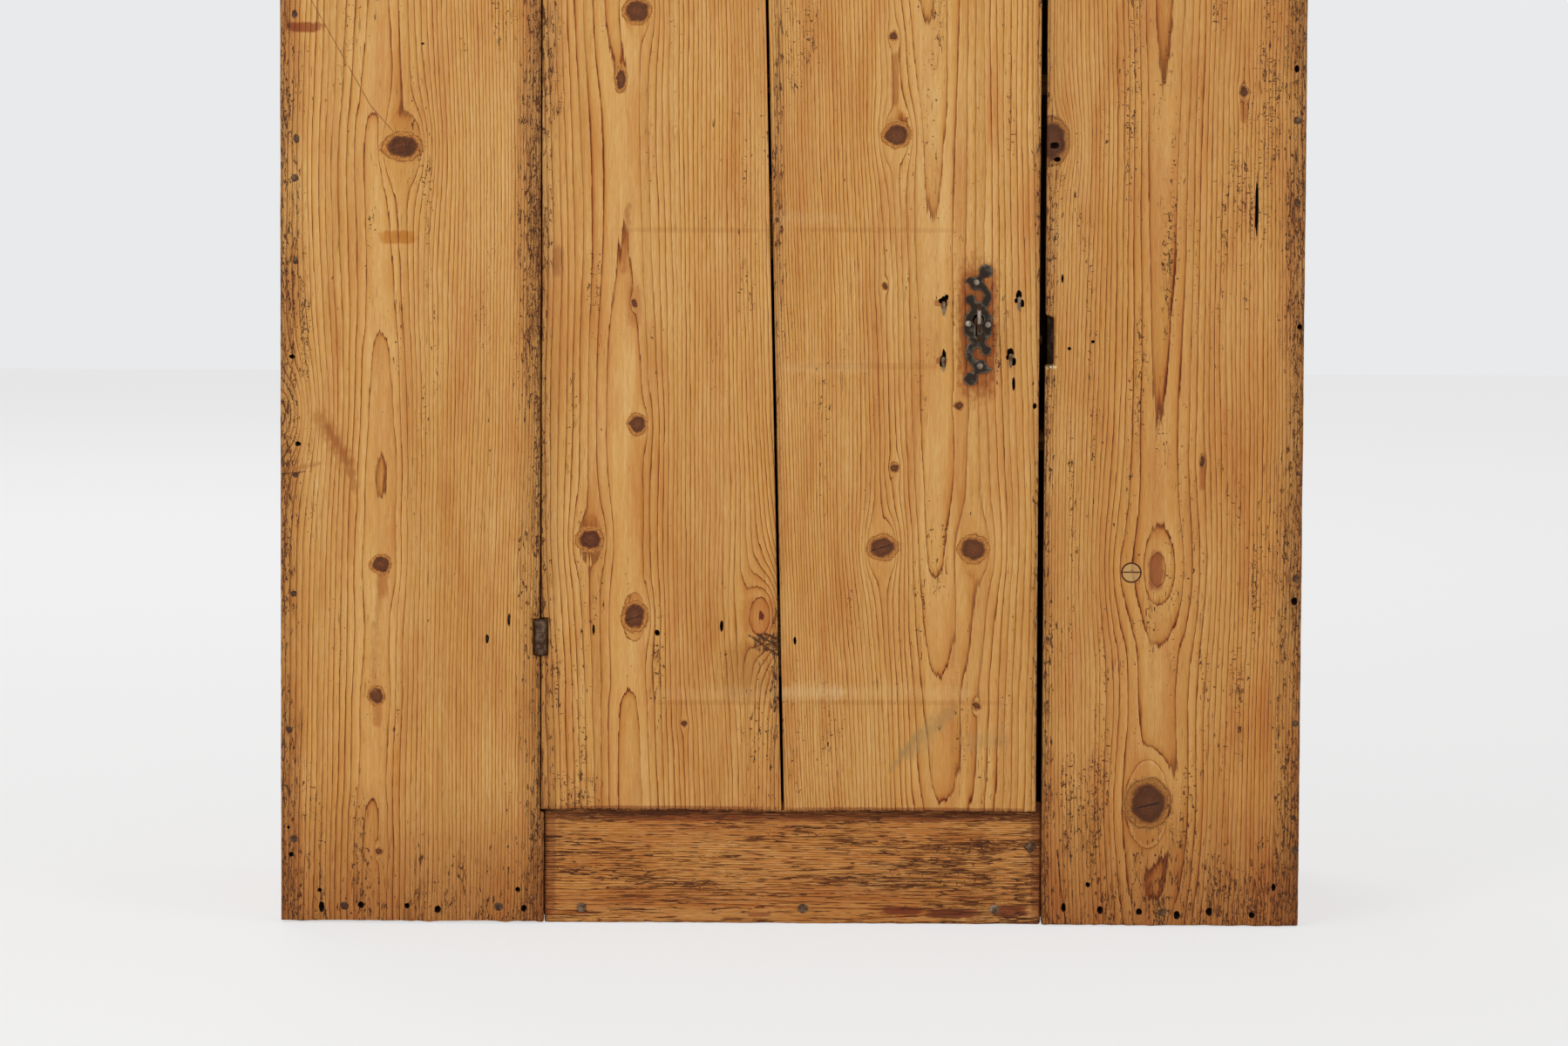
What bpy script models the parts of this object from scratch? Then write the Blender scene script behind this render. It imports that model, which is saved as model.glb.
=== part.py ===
"""Country cupboard of nailed pine boards with one ledged door, wrought hinges and a rim lock.

Metres, +Z up, +X to the right of someone facing the door, +Y to the back. The origin is at the
middle of the bottom of the whole cupboard's box, key and top board included.
"""
import bpy
import bmesh
from math import asin, cos, pi, radians, sin
from mathutils import Matrix
from mathutils.geometry import tessellate_polygon

# Overall sizes
body_width = 1.100
body_depth = 0.450
body_height = 1.550
fit_gap = 0.0003
board_seam = 0.0006
cutter_overrun = 0.010
small_chamfer = 0.001

# Front frame
stile_thickness = 0.025
left_stile_width = 0.280
left_stile_step = 0.0042
step_clearance = 0.0010
right_stile_width = 0.2783
rail_recess = 0.007
rail_thickness = 0.018
bottom_rail_height = 0.1343
top_rail_height = 0.132
tenon_length = 0.040
tenon_thickness = 0.008
tenon_setback = 0.005
tenon_shoulder = 0.020

# Carcase boards
side_thickness = 0.028
side_front_board_width = 0.212
back_thickness = 0.016
back_board_count = 5
back_board_clearance = 0.010
top_thickness = 0.025
top_overhang = 0.015
top_front_board_width = 0.225
floor_thickness = 0.022
floor_underside = 0.006
floor_front_board_width = 0.200
edge_round = 0.0016

# Shelves and their cleats
shelf_thickness = 0.022
shelf_setback = 0.052
shelf_front_board_width = 0.190
lower_shelf_top = 0.5335
middle_shelf_top = 0.9180
cleat_width = 0.020
cleat_height = 0.030

# Door
door_thickness = 0.022
hinge_side_gap = 0.0010
lock_side_gap = 0.0062
door_lap = 0.0118
rebate_gap = 0.0025
plank_gap = 0.0028
joint_offset_at_foot = -0.0062
joint_offset_at_head = -0.0367
batten_height = 0.090
batten_thickness = 0.022
batten_end = 0.040
batten_arris = 0.003
batten_from_door_end = 0.1893

# Hinges
barrel_radius = 0.0065
barrel_height = 0.036
bore_radius = 0.0033
pin_radius = 0.0030
pin_head_radius = 0.0044
pin_head_height = 0.0010
leaf_thickness = 0.0020
leaf_length = 0.070
leaf_height = 0.044
recess_clearance = 0.0015
stub_overlap = 0.004

# Lock, key and keyhole plate
key_from_door_edge = 0.0660
lock_below_batten = 0.0305
key_reach = 0.060
case_wall = 0.0016
case_depth = 0.024
case_left_of_key = 0.044
case_above_key = 0.031
case_below_key = 0.051
case_edge_gap = 0.0015
bolt_height = 0.0092
bolt_thickness = 0.006
bolt_below_key = 0.0238
bolt_inset = 0.0067
bolt_nose = 0.0035
bolt_tail = 0.026
talon_arm_width = 0.005
talon_left = 0.006
talon_right = 0.0098
talon_top_below_key = 0.008
key_shaft_radius = 0.0032
bit_reach = 0.013
bit_width = 0.003
bow_half_height = 0.0190
bow_half_length = 0.0150
bow_wire_radius = 0.0022
collar_radius = 0.0052
collar_length = 0.005
keyhole_radius = 0.0062
slot_width = 0.0056
slot_reach = 0.0185
spring_thickness = 0.0008
spring_width = 0.004
spring_start = 0.028
spring_below_arms = 0.002
stud_radius = 0.0025
keeper_thickness = 0.0030
keeper_arris = 0.0006
keeper_inset = 0.0028
keeper_width = 0.036
keeper_height = 0.076
notch_depth = 0.0093
notch_below_key = 0.0495
notch_above_key = 0.0050
plate_thickness = 0.0015
plate_below_key = 0.0057

# Fasteners
shank_point = 0.004
dome_radius = 0.0037
dome_height = 0.0024
dome_shank_radius = 0.0011
dome_shank_length = 0.014
screw_head_radius = 0.0054
screw_head_height = 0.0012
screw_slot_width = 0.001
screw_shank_radius = 0.0022
screw_length = 0.038
screw_inset_left = 0.0407
screw_inset_right = 0.0501
screw_middle_offset = 0.0160
rose_head_radius = 0.0080
rose_head_height = 0.0030
rose_shank_radius = 0.0020
rose_nail_inset = 0.0120
rose_nail_z = 0.0850
rose_nail_length = 0.0175
lock_nail_radius = 0.0016
lock_nail_head_radius = 0.0045
lock_nail_head_height = 0.0015
clench_length = 0.0170
clench_width = 0.0042
clench_height = 0.0014
plate_nail_places = ((-0.0022, 0.0460), (0.0022, -0.0440), (-0.0104, 0.0016), (0.0104, 0.0006))
lock_nail_places = ((-0.0372, 0.0170), (0.0440, 0.0222), (-0.0372, -0.0430), (0.0352, -0.0390))

# Places that follow from the sizes
front_y = (key_reach - body_depth) / 2
half_width = body_width / 2
under_top = body_height - top_thickness
frame_top = under_top - fit_gap
inner_x = half_width - side_thickness
opening_left = -half_width + left_stile_width
opening_right = half_width - right_stile_width
rail_left = opening_left + left_stile_step
door_left = opening_left + hinge_side_gap
door_right = opening_right - lock_side_gap
top_rail_z = frame_top - top_rail_height
door_bottom = bottom_rail_height - door_lap
door_top = top_rail_z + door_lap
hinge_x = opening_left + hinge_side_gap / 2
door_middle_x = (door_left + door_right) / 2
lower_hinge_z = door_bottom + batten_from_door_end
upper_hinge_z = door_top - batten_from_door_end
middle_batten_z = (door_bottom + door_top) / 2
key_z = middle_batten_z - batten_height / 2 - lock_below_batten - case_above_key
upper_shelf_top = (middle_shelf_top + under_top) / 2
rose_nail_x = opening_right - rose_nail_inset
key_x = door_right - key_from_door_edge
inside_front = stile_thickness + fit_gap
back_face = body_depth - back_thickness
inside_back = back_face - fit_gap


def remove_everything():
    """Start from an empty scene."""
    for thing in list(bpy.data.objects):
        bpy.data.objects.remove(thing, do_unlink=True)


def finish(name, colour, roughness, metallic=0.0):
    """A plain Principled BSDF material."""
    material = bpy.data.materials.new(name)
    material.use_nodes = True
    shader = material.node_tree.nodes["Principled BSDF"]
    shader.inputs["Base Color"].default_value = (*colour, 1.0)
    shader.inputs["Roughness"].default_value = roughness
    shader.inputs["Metallic"].default_value = metallic
    return material


def add_object(name, bm, material, place, smooth=False):
    """Turn a bmesh into an object at a place, with its faces pointing out."""
    bmesh.ops.recalc_face_normals(bm, faces=bm.faces[:])
    mesh = bpy.data.meshes.new(name)
    bm.to_mesh(mesh)
    bm.free()
    if material:
        mesh.materials.append(material)
    if smooth:
        mesh.shade_smooth()
        mesh.set_sharp_from_angle(angle=radians(35))
    thing = bpy.data.objects.new(name, mesh)
    thing.location = place
    bpy.context.collection.objects.link(thing)
    return thing


def soften(thing, width=edge_round):
    """Round the arrises of a board."""
    bevel = thing.modifiers.new("worn arris", "BEVEL")
    bevel.width = width
    bevel.segments = 1
    bevel.limit_method = "ANGLE"
    bevel.angle_limit = radians(40)
    return thing


def board(name, x, depth, z, material, arris=edge_round):
    """A square-cut board between two values of x, of depth behind the front, and of z."""
    middle = ((x[0] + x[1]) / 2, front_y + (depth[0] + depth[1]) / 2, (z[0] + z[1]) / 2)
    size = (x[1] - x[0], depth[1] - depth[0], z[1] - z[0])
    bm = bmesh.new()
    bmesh.ops.create_cube(bm, size=1.0)
    bmesh.ops.scale(bm, vec=size, verts=bm.verts[:])
    thing = add_object(name, bm, material, middle)
    if arris:
        soften(thing, arris)
    return thing


def to_axis(axis, u, v, along):
    """Point of an outline (u, v) at a distance along the axis it is extruded on."""
    return {"X": (along, u, v), "Y": (u, along, v), "Z": (u, v, along)}[axis]


def extruded(name, outline, low, high, axis, material, place=(0, 0, 0), hole=(), smooth=False):
    """A solid with one flat outline, and one hole if given, from low to high along an axis."""
    bm = bmesh.new()
    loops = [outline] + ([hole] if hole else [])
    near = [[bm.verts.new(to_axis(axis, u, v, low)) for u, v in loop] for loop in loops]
    far = [[bm.verts.new(to_axis(axis, u, v, high)) for u, v in loop] for loop in loops]
    flat = [[(u, v, 0.0) for u, v in loop] for loop in loops]
    near_all = [vert for loop in near for vert in loop]
    far_all = [vert for loop in far for vert in loop]
    for a, b, c in tessellate_polygon(flat):
        bm.faces.new((near_all[a], near_all[b], near_all[c]))
        bm.faces.new((far_all[c], far_all[b], far_all[a]))
    for front_loop, rear_loop in zip(near, far):
        for i in range(len(front_loop)):
            j = (i + 1) % len(front_loop)
            bm.faces.new((front_loop[i], rear_loop[i], rear_loop[j], front_loop[j]))
    return add_object(name, bm, material, place, smooth)


def turned(name, profile, axis, material, place, sides=16):
    """A round solid. The profile lists (radius, along) from one point on the axis to another."""
    bm = bmesh.new()
    rings = []
    for radius, along in profile:
        if radius == 0:
            rings.append([bm.verts.new(to_axis(axis, 0, 0, along))])
            continue
        angles = [2 * pi * i / sides for i in range(sides)]
        rings.append([bm.verts.new(to_axis(axis, radius * cos(a), radius * sin(a), along)) for a in angles])
    for ring, following in zip(rings, rings[1:]):
        for i in range(sides):
            j = (i + 1) % sides
            corners = [ring[i % len(ring)], ring[j % len(ring)]]
            corners += [following[j % len(following)], following[i % len(following)]]
            bm.faces.new(list(dict.fromkeys(corners)))
    return add_object(name, bm, material, place, smooth=True)


def box_solid(name, low, high, material=None):
    """A sharp box between two corners."""
    outline = [(low[0], low[1]), (high[0], low[1]), (high[0], high[1]), (low[0], high[1])]
    return extruded(name, outline, low[2], high[2], "Z", material)


def combine(thing, tool, operation):
    """Cut a hidden tool out of a thing, or add a hidden piece to it."""
    tool.hide_render = True
    tool.display_type = "WIRE"
    change = thing.modifiers.new(tool.name, "BOOLEAN")
    change.operation = operation
    change.solver = "EXACT"
    change.object = tool


def cut(thing, tool):
    combine(thing, tool, "DIFFERENCE")


def add(thing, piece):
    combine(thing, piece, "UNION")


def axis_empty(name, place):
    """An empty on a joint's axis, which carries what moves with that joint."""
    empty = bpy.data.objects.new(name, None)
    empty.location = place
    bpy.context.collection.objects.link(empty)
    return empty


def carry(empty, *things):
    """Parent things to an empty and leave them where they are."""
    for thing in things:
        thing.parent = empty
        thing.matrix_parent_inverse = Matrix.Translation(empty.location).inverted()


def arc(centre, radius, start, end, steps):
    """Points on an arc, both ends included, with angles in degrees."""
    angles = [radians(start + (end - start) * i / steps) for i in range(steps + 1)]
    return [(centre[0] + radius * cos(a), centre[1] + radius * sin(a)) for a in angles]


def keyhole_outline(centre_x, centre_z, radius, width, reach, steps=14):
    """Round hole with a slot that reaches down from its centre."""
    half = width / 2
    meet = 270 - asin(half / radius) * 180 / pi
    round_part = arc((centre_x, centre_z), radius, 540 - meet - 360, meet, steps)
    foot = centre_z - reach
    return round_part + [(centre_x - half, foot), (centre_x + half, foot)]


def rail_mortises(stile, shoulder_x, outward):
    """Mortises from a rail's shoulder outward into the stile, one for each rail's tenon."""
    tenon_front = front_y + rail_recess + tenon_setback
    for rail, low, high in (("bottom", 0, bottom_rail_height), ("top", top_rail_z, frame_top)):
        mouth = shoulder_x - outward * cutter_overrun
        ends = sorted((mouth, shoulder_x + outward * (tenon_length + fit_gap)))
        tool = box_solid(
            f"{stile.name}_{rail}_mortise",
            (ends[0], tenon_front - fit_gap, low + tenon_shoulder - fit_gap),
            (ends[1], tenon_front + tenon_thickness + fit_gap, high - tenon_shoulder + fit_gap),
        )
        cut(stile, tool)


def hinge_slot(wood, z, outward):
    """The slot for a hinge leaf in an edge, and the round recess for the barrel."""
    leaf_back = front_y + barrel_radius
    ends = sorted((hinge_x, hinge_x + outward * (leaf_length + fit_gap)))
    slot = box_solid(
        f"{wood.name}_leaf_slot_{round(z * 1000)}",
        (ends[0], leaf_back - leaf_thickness - fit_gap, z - leaf_height / 2 - fit_gap),
        (ends[1], leaf_back + fit_gap, z + leaf_height / 2 + fit_gap),
    )
    cut(wood, slot)
    reach = barrel_height / 2 + pin_head_height + 3 * fit_gap
    radius = barrel_radius + recess_clearance
    recess = turned(
        f"{wood.name}_barrel_recess_{round(z * 1000)}",
        [(0, -reach), (radius, -reach), (radius, reach), (0, reach)],
        "Z", None, (hinge_x, front_y, z), sides=32,
    )
    cut(wood, recess)


def make_left_stile():
    """Left stile: a little wider beside the rails, where its edge was never planed back."""
    low_step = door_bottom - step_clearance
    high_step = door_top + step_clearance
    outline = [
        (-half_width, 0), (rail_left, 0), (rail_left, low_step), (opening_left, low_step),
        (opening_left, high_step), (rail_left, high_step), (rail_left, frame_top), (-half_width, frame_top),
    ]
    stile = soften(extruded("left_stile", outline, front_y, front_y + stile_thickness, "Y", pine))
    rail_mortises(stile, rail_left, -1)
    for z in (lower_hinge_z, upper_hinge_z):
        hinge_slot(stile, z, -1)


def make_right_stile():
    """Right stile with the notch that shows the keeper."""
    notch_low = key_z - notch_below_key
    notch_high = key_z + notch_above_key
    notch_x = opening_right + notch_depth
    outline = [
        (opening_right, 0), (half_width, 0), (half_width, frame_top), (opening_right, frame_top),
        (opening_right, notch_high), (notch_x, notch_high - notch_depth / 3),
        (notch_x, notch_low), (opening_right, notch_low),
    ]
    stile = soften(extruded("right_stile", outline, front_y, front_y + stile_thickness, "Y", pine))
    rail_mortises(stile, opening_right, 1)


def make_rail(name, low, high):
    """A rail with a tenon at each end."""
    left = rail_left + fit_gap
    right = opening_right - fit_gap
    depth = (rail_recess, rail_recess + rail_thickness)
    rail = board(name, (left, right), depth, (low, high), pine)
    tenon_front = front_y + rail_recess + tenon_setback
    root = cutter_overrun
    for end, ends in (("left", (rail_left - tenon_length, left + root)),
                      ("right", (right - root, opening_right + tenon_length))):
        tenon = box_solid(
            f"{name}_{end}_tenon",
            (ends[0], tenon_front, low + tenon_shoulder),
            (ends[1], tenon_front + tenon_thickness, high - tenon_shoulder),
        )
        add(rail, tenon)
    return rail


def make_carcase():
    """Sides, floor, top and back."""
    side_split = inside_front + side_front_board_width
    for side, x in (("left", (-half_width, -inner_x)), ("right", (inner_x, half_width))):
        front_part = (inside_front, side_split - board_seam / 2)
        rear_part = (side_split + board_seam / 2, inside_back)
        board(f"{side}_side_front_board", x, front_part, (0, frame_top), pine)
        board(f"{side}_side_rear_board", x, rear_part, (0, frame_top), pine)
    floor_x = (-inner_x + fit_gap, inner_x - fit_gap)
    floor_z = (floor_underside, floor_underside + floor_thickness)
    floor_split = inside_front + floor_front_board_width
    board("floor_board_rear", floor_x, (floor_split + board_seam, inside_back), floor_z, pine_inside)
    front_board = board("floor_board_front", floor_x, (inside_front, floor_split), floor_z, pine_inside)
    top_x = (-half_width - top_overhang, half_width + top_overhang)
    top_z = (under_top, body_height)
    top_split = top_front_board_width - top_overhang
    board("top_board_front", top_x, (-top_overhang, top_split), top_z, pine)
    board("top_board_rear", top_x, (top_split + board_seam, body_depth), top_z, pine)
    pitch = body_width / back_board_count
    for number in range(back_board_count):
        left = -half_width + number * pitch
        x = (left + board_seam / 2, left + pitch - board_seam / 2)
        back_z = (back_board_clearance, frame_top)
        board(f"back_board_{number + 1}", x, (back_face, body_depth), back_z, pine_inside)
    return front_board


def make_shelves():
    """Three shelves of two boards each, on a cleat at each end."""
    split = shelf_setback + shelf_front_board_width
    tops = (("lower", lower_shelf_top), ("middle", middle_shelf_top), ("upper", upper_shelf_top))
    for level, top in tops:
        z = (top - shelf_thickness, top)
        x = (-inner_x + fit_gap, inner_x - fit_gap)
        board(f"shelf_{level}_front_board", x, (shelf_setback, split), z, pine_inside)
        board(f"shelf_{level}_rear_board", x, (split + board_seam, inside_back), z, pine_inside)
        cleat_z = (z[0] - fit_gap - cleat_height, z[0] - fit_gap)
        for side, direction in (("left", -1), ("right", 1)):
            wall = direction * (inner_x - fit_gap)
            cleat_x = tuple(sorted((wall, wall - direction * cleat_width)))
            board(f"shelf_{level}_cleat_{side}", cleat_x, (shelf_setback, inside_back), cleat_z, pine_inside)


def joint_x(z):
    """The door's middle joint leans, because its planks taper."""
    share = (z - door_bottom) / (door_top - door_bottom)
    offset = joint_offset_at_foot + share * (joint_offset_at_head - joint_offset_at_foot)
    return door_middle_x + offset


def make_plank(name, left_edge, right_edge):
    """A door plank with a lip that laps the rails. The edges are functions of z."""
    lip = rail_recess - fit_gap
    outline = [(left_edge(z), z) for z in (door_bottom, door_top)]
    outline += [(right_edge(z), z) for z in (door_top, door_bottom)]
    plank = soften(extruded(name, outline, front_y, front_y + door_thickness, "Y", pine))
    behind = bottom_rail_height + rebate_gap
    above = top_rail_z - rebate_gap
    rebates = (("bottom", door_bottom - cutter_overrun, behind), ("top", above, door_top + cutter_overrun))
    for end, low, high in rebates:
        tool = box_solid(
            f"{name}_{end}_rebate",
            (door_left - cutter_overrun, front_y + lip, low),
            (door_right + cutter_overrun, front_y + door_thickness + cutter_overrun, high),
        )
        cut(plank, tool)
    return plank


def make_door():
    """Two tapered planks nailed to three battens."""
    left = make_plank("door_plank_left", lambda z: door_left, lambda z: joint_x(z) - plank_gap / 2)
    right = make_plank("door_plank_right", lambda z: joint_x(z) + plank_gap / 2, lambda z: door_right)
    for z in (lower_hinge_z, upper_hinge_z):
        hinge_slot(left, z, 1)
    outline = keyhole_outline(key_x, key_z, keyhole_radius, slot_width, slot_reach)
    reach = (front_y - cutter_overrun, front_y + door_thickness + cutter_overrun)
    cut(right, extruded("plank_keyhole", outline, *reach, "Y", None))
    depth = (door_thickness + fit_gap, door_thickness + fit_gap + batten_thickness)
    battens = []
    for level, z in (("lower", lower_hinge_z), ("middle", middle_batten_z), ("upper", upper_hinge_z)):
        x = (door_left + batten_end, door_right - batten_end)
        tall = (z - batten_height / 2, z + batten_height / 2)
        battens.append(board(f"door_batten_{level}", x, depth, tall, pine_inside, batten_arris))
    return left, right, battens


def knuckle_outline(outward):
    """Outline in plan of a barrel ring with the stub that joins it to its leaf, and its bore."""
    inner_face = barrel_radius - leaf_thickness
    angle = asin(inner_face / barrel_radius) * 180 / pi
    ring = arc((0, 0), barrel_radius, 90, 360 + angle, 22)
    stub_end = barrel_radius + recess_clearance + stub_overlap
    outline = ring + [(stub_end, inner_face), (stub_end, barrel_radius)]
    bore = arc((0, 0), bore_radius, 0, 337.5, 15)
    return [(outward * u, v) for u, v in outline], [(outward * u, v) for u, v in bore]


def make_leaf(name, z, outward, knuckles):
    """A hinge leaf and the barrel rings it carries. knuckles lists which thirds of the barrel."""
    start = barrel_radius + recess_clearance
    ends = sorted((outward * start, outward * leaf_length))
    half = leaf_height / 2
    outline = [(ends[0], -half), (ends[1], -half), (ends[1], half), (ends[0], half)]
    back = barrel_radius
    place = (hinge_x, front_y, z)
    leaf = extruded(name, outline, back - leaf_thickness, back, "Y", wrought_iron, place)
    third = barrel_height / 3
    plan, bore = knuckle_outline(outward)
    for number in knuckles:
        low = -barrel_height / 2 + number * third + fit_gap / 2
        ring = extruded(f"{name}_ring_{number}", plan, low, low + third - fit_gap, "Z", None, place, bore)
        add(leaf, ring)
    return leaf


def make_hinge(level, z):
    """A three-knuckle hinge: the frame leaf holds the outer rings, the door leaf the middle one."""
    make_leaf(f"{level}_hinge_frame_leaf", z, -1, (0, 2))
    door_leaf = make_leaf(f"{level}_hinge_door_leaf", z, 1, (1,))
    end = barrel_height / 2 + fit_gap
    crown = end + pin_head_height
    profile = [(0, -crown), (pin_head_radius * 0.7, -crown), (pin_head_radius, -end), (pin_radius, -end)]
    profile += [(pin_radius, end), (pin_head_radius, end), (pin_head_radius * 0.7, crown), (0, crown)]
    turned(f"{level}_hinge_pin", profile, "Z", wrought_iron, (hinge_x, front_y, z), sides=16)
    return door_leaf


def nail_hole(thing, name, x, z, radius, depth):
    """A hole along Y for a shank, between two depths behind the front."""
    profile = [(0, depth[0]), (radius, depth[0]), (radius, depth[1]), (0, depth[1])]
    cut(thing, turned(name, profile, "Y", None, (x, front_y, z), sides=12))


def make_lock_case():
    """The iron case behind the door, open towards the wood."""
    low = key_z - case_below_key
    high = key_z + case_above_key
    left = key_x - case_left_of_key
    right = door_right - case_edge_gap
    near = front_y + door_thickness + fit_gap
    far = near + case_depth
    case = box_solid("lock_case", (left, near, low), (right, far, high), wrought_iron)
    hollow = box_solid(
        "lock_case_hollow",
        (left + case_wall, near - cutter_overrun, low + case_wall),
        (right - case_wall, far - case_wall, high - case_wall),
    )
    cut(case, hollow)
    bolt_front = front_y + door_thickness + bolt_inset
    bolt_low = key_z - bolt_below_key - bolt_height / 2
    mouth = box_solid(
        "lock_case_mouth",
        (right - 2 * case_wall, bolt_front - fit_gap, bolt_low - fit_gap),
        (right + cutter_overrun, bolt_front + bolt_thickness + fit_gap, bolt_low + bolt_height + fit_gap),
    )
    cut(case, mouth)
    stud_x = key_x + spring_start + stud_radius
    stud_z = key_z - talon_top_below_key - spring_below_arms + stud_radius + fit_gap
    stud_far = door_thickness + fit_gap + case_depth - case_wall / 2
    stud_near = door_thickness + bolt_inset
    profile = [(0, stud_near), (stud_radius, stud_near), (stud_radius, stud_far), (0, stud_far)]
    add(case, turned("lock_case_stud", profile, "Y", None, (stud_x, front_y, stud_z), sides=12))
    back = door_thickness + fit_gap + case_depth
    tip_radius = key_shaft_radius + fit_gap
    through = (back - 2 * case_wall, back + cutter_overrun)
    nail_hole(case, "lock_case_key_hole", key_x, key_z, tip_radius, through)
    return case


def make_bolt():
    """The bolt, with a fork that stands up on each side of the key's bit."""
    low = key_z - bolt_below_key - bolt_height / 2
    high = low + bolt_height
    arm_top = key_z - talon_top_below_key
    tail = key_x - bolt_tail
    nose = door_right + bolt_nose
    left_arm = key_x - talon_left
    right_arm = key_x + talon_right
    outline = [
        (tail, low), (nose - small_chamfer, low), (nose, low + small_chamfer),
        (nose, high - small_chamfer), (nose - small_chamfer, high),
        (right_arm + talon_arm_width, high), (right_arm + talon_arm_width, arm_top), (right_arm, arm_top),
        (right_arm, high), (left_arm, high), (left_arm, arm_top), (left_arm - talon_arm_width, arm_top),
        (left_arm - talon_arm_width, high), (tail, high),
    ]
    near = front_y + door_thickness + bolt_inset
    origin = (nose, near + bolt_thickness / 2, (low + high) / 2)
    local = [(x - origin[0], z - origin[2]) for x, z in outline]
    half = bolt_thickness / 2
    return extruded("lock_bolt", local, -half, half, "Y", wrought_iron, origin)


def make_spring():
    """A bowed strip that presses on the bolt, under a stud at one end and the case at the other."""
    start = (key_x + spring_start, key_z - talon_top_below_key - spring_below_arms)
    end_x = door_right - case_edge_gap - case_wall - fit_gap
    bolt_top = key_z - bolt_below_key + bolt_height / 2
    belly = bolt_top + fit_gap
    length = end_x - start[0]
    steps = 10
    sag = start[1] - spring_thickness - belly
    lower = []
    for i in range(steps + 1):
        share = i / steps
        drop = sag * 4 * share * (1 - share)
        lower.append((start[0] + length * share, start[1] - spring_thickness - drop))
    upper = [(x, z + spring_thickness) for x, z in reversed(lower)]
    near = front_y + door_thickness + bolt_inset + (bolt_thickness - spring_width) / 2
    return extruded("lock_spring", lower + upper, near, near + spring_width, "Y", wrought_iron)


def make_key():
    """A key with a ring bow seen edge on, a collar, a round shaft and a bit that points down."""
    tip = door_thickness + fit_gap + case_depth
    neck = -key_reach + 2 * bow_half_length + bow_wire_radius
    collar_start = neck + bow_wire_radius
    collar_end = collar_start + collar_length
    profile = [
        (0, neck - bow_wire_radius), (key_shaft_radius / 2, neck - bow_wire_radius), (key_shaft_radius, neck),
        (key_shaft_radius, collar_start), (collar_radius, collar_start + small_chamfer),
        (collar_radius, collar_end - small_chamfer), (key_shaft_radius, collar_end),
        (key_shaft_radius, tip - small_chamfer), (key_shaft_radius - small_chamfer, tip), (0, tip),
    ]
    place = (key_x, front_y, key_z)
    key = turned("key", profile, "Y", wrought_iron, place, sides=16)
    bm = bmesh.new()
    steps = 28
    sides = 8
    rings = []
    bow_centre = -key_reach + bow_half_length + bow_wire_radius
    for i in range(steps):
        turn = 2 * pi * i / steps
        ring = []
        for j in range(sides):
            angle = 2 * pi * j / sides
            out = bow_wire_radius * cos(angle)
            y = bow_centre + (bow_half_length + out) * cos(turn)
            z = (bow_half_height + out) * sin(turn)
            ring.append(bm.verts.new((bow_wire_radius * sin(angle), y, z)))
        rings.append(ring)
    for i in range(steps):
        for j in range(sides):
            following = rings[(i + 1) % steps]
            k = (j + 1) % sides
            bm.faces.new((rings[i][j], following[j], following[k], rings[i][k]))
    add(key, add_object("key_bow", bm, None, place))
    bolt_near = door_thickness + bolt_inset
    bit = box_solid(
        "key_bit",
        (key_x - bit_width / 2, front_y + bolt_near - fit_gap, key_z - bit_reach),
        (key_x + bit_width / 2, front_y + bolt_near + bolt_thickness + fit_gap, key_z - key_shaft_radius / 2),
    )
    add(key, bit)
    return key


def make_keeper():
    """The iron plate behind the right stile that the thrown bolt bears on."""
    left = opening_right + keeper_inset
    middle = key_z - bolt_below_key
    x = (left, left + keeper_width)
    depth = (inside_front, inside_front + keeper_thickness)
    z = (middle - keeper_height / 2, middle + keeper_height / 2)
    return board("lock_keeper", x, depth, z, wrought_iron, keeper_arris)


def keyhole_plate_half():
    """Right and upper edge of the keyhole plate from its middle: shoulders, scroll, lobe and leaf."""
    edge = [(0.0150, 0.0), (0.0152, 0.0098), (0.0118, 0.0122), (0.0101, 0.0152), (0.0098, 0.0174)]
    edge += [(0.0076, 0.0181), (0.0115, 0.0214), (0.0141, 0.0278), (0.0129, 0.0362)]
    edge += [(0.0078, 0.0427), (0.0047, 0.0470), (0.0050, 0.0508)]
    edge += arc((0.0078, 0.0580), 0.0073, -100, 200, 14)
    edge += [(-0.0008, 0.0520), (-0.0080, 0.0520), (-0.0122, 0.0503), (-0.0160, 0.0460)]
    edge += [(-0.0118, 0.0456), (-0.0094, 0.0418), (-0.0066, 0.0377), (-0.0024, 0.0379)]
    edge += [(0.0016, 0.0374), (0.0050, 0.0343), (0.0054, 0.0292), (0.0034, 0.0258), (0.0006, 0.0240)]
    edge += arc((-0.0085, 0.0272), 0.0057, -10, 268, 12)
    edge += [(-0.0080, 0.0178), (-0.0095, 0.0152), (-0.0113, 0.0128), (-0.0142, 0.0102)]
    return edge


def make_keyhole_plate():
    """Wrought plate round the keyhole. Its lower half is its upper half turned half a turn."""
    half = keyhole_plate_half()
    outline = half + [(-x, -z) for x, z in half]
    hole = keyhole_outline(0, plate_below_key, keyhole_radius, slot_width, slot_reach)
    place = (key_x, front_y - fit_gap, key_z - plate_below_key)
    plate = extruded("escutcheon", outline, -plate_thickness, 0, "Y", wrought_iron, place, hole)
    return plate


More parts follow.
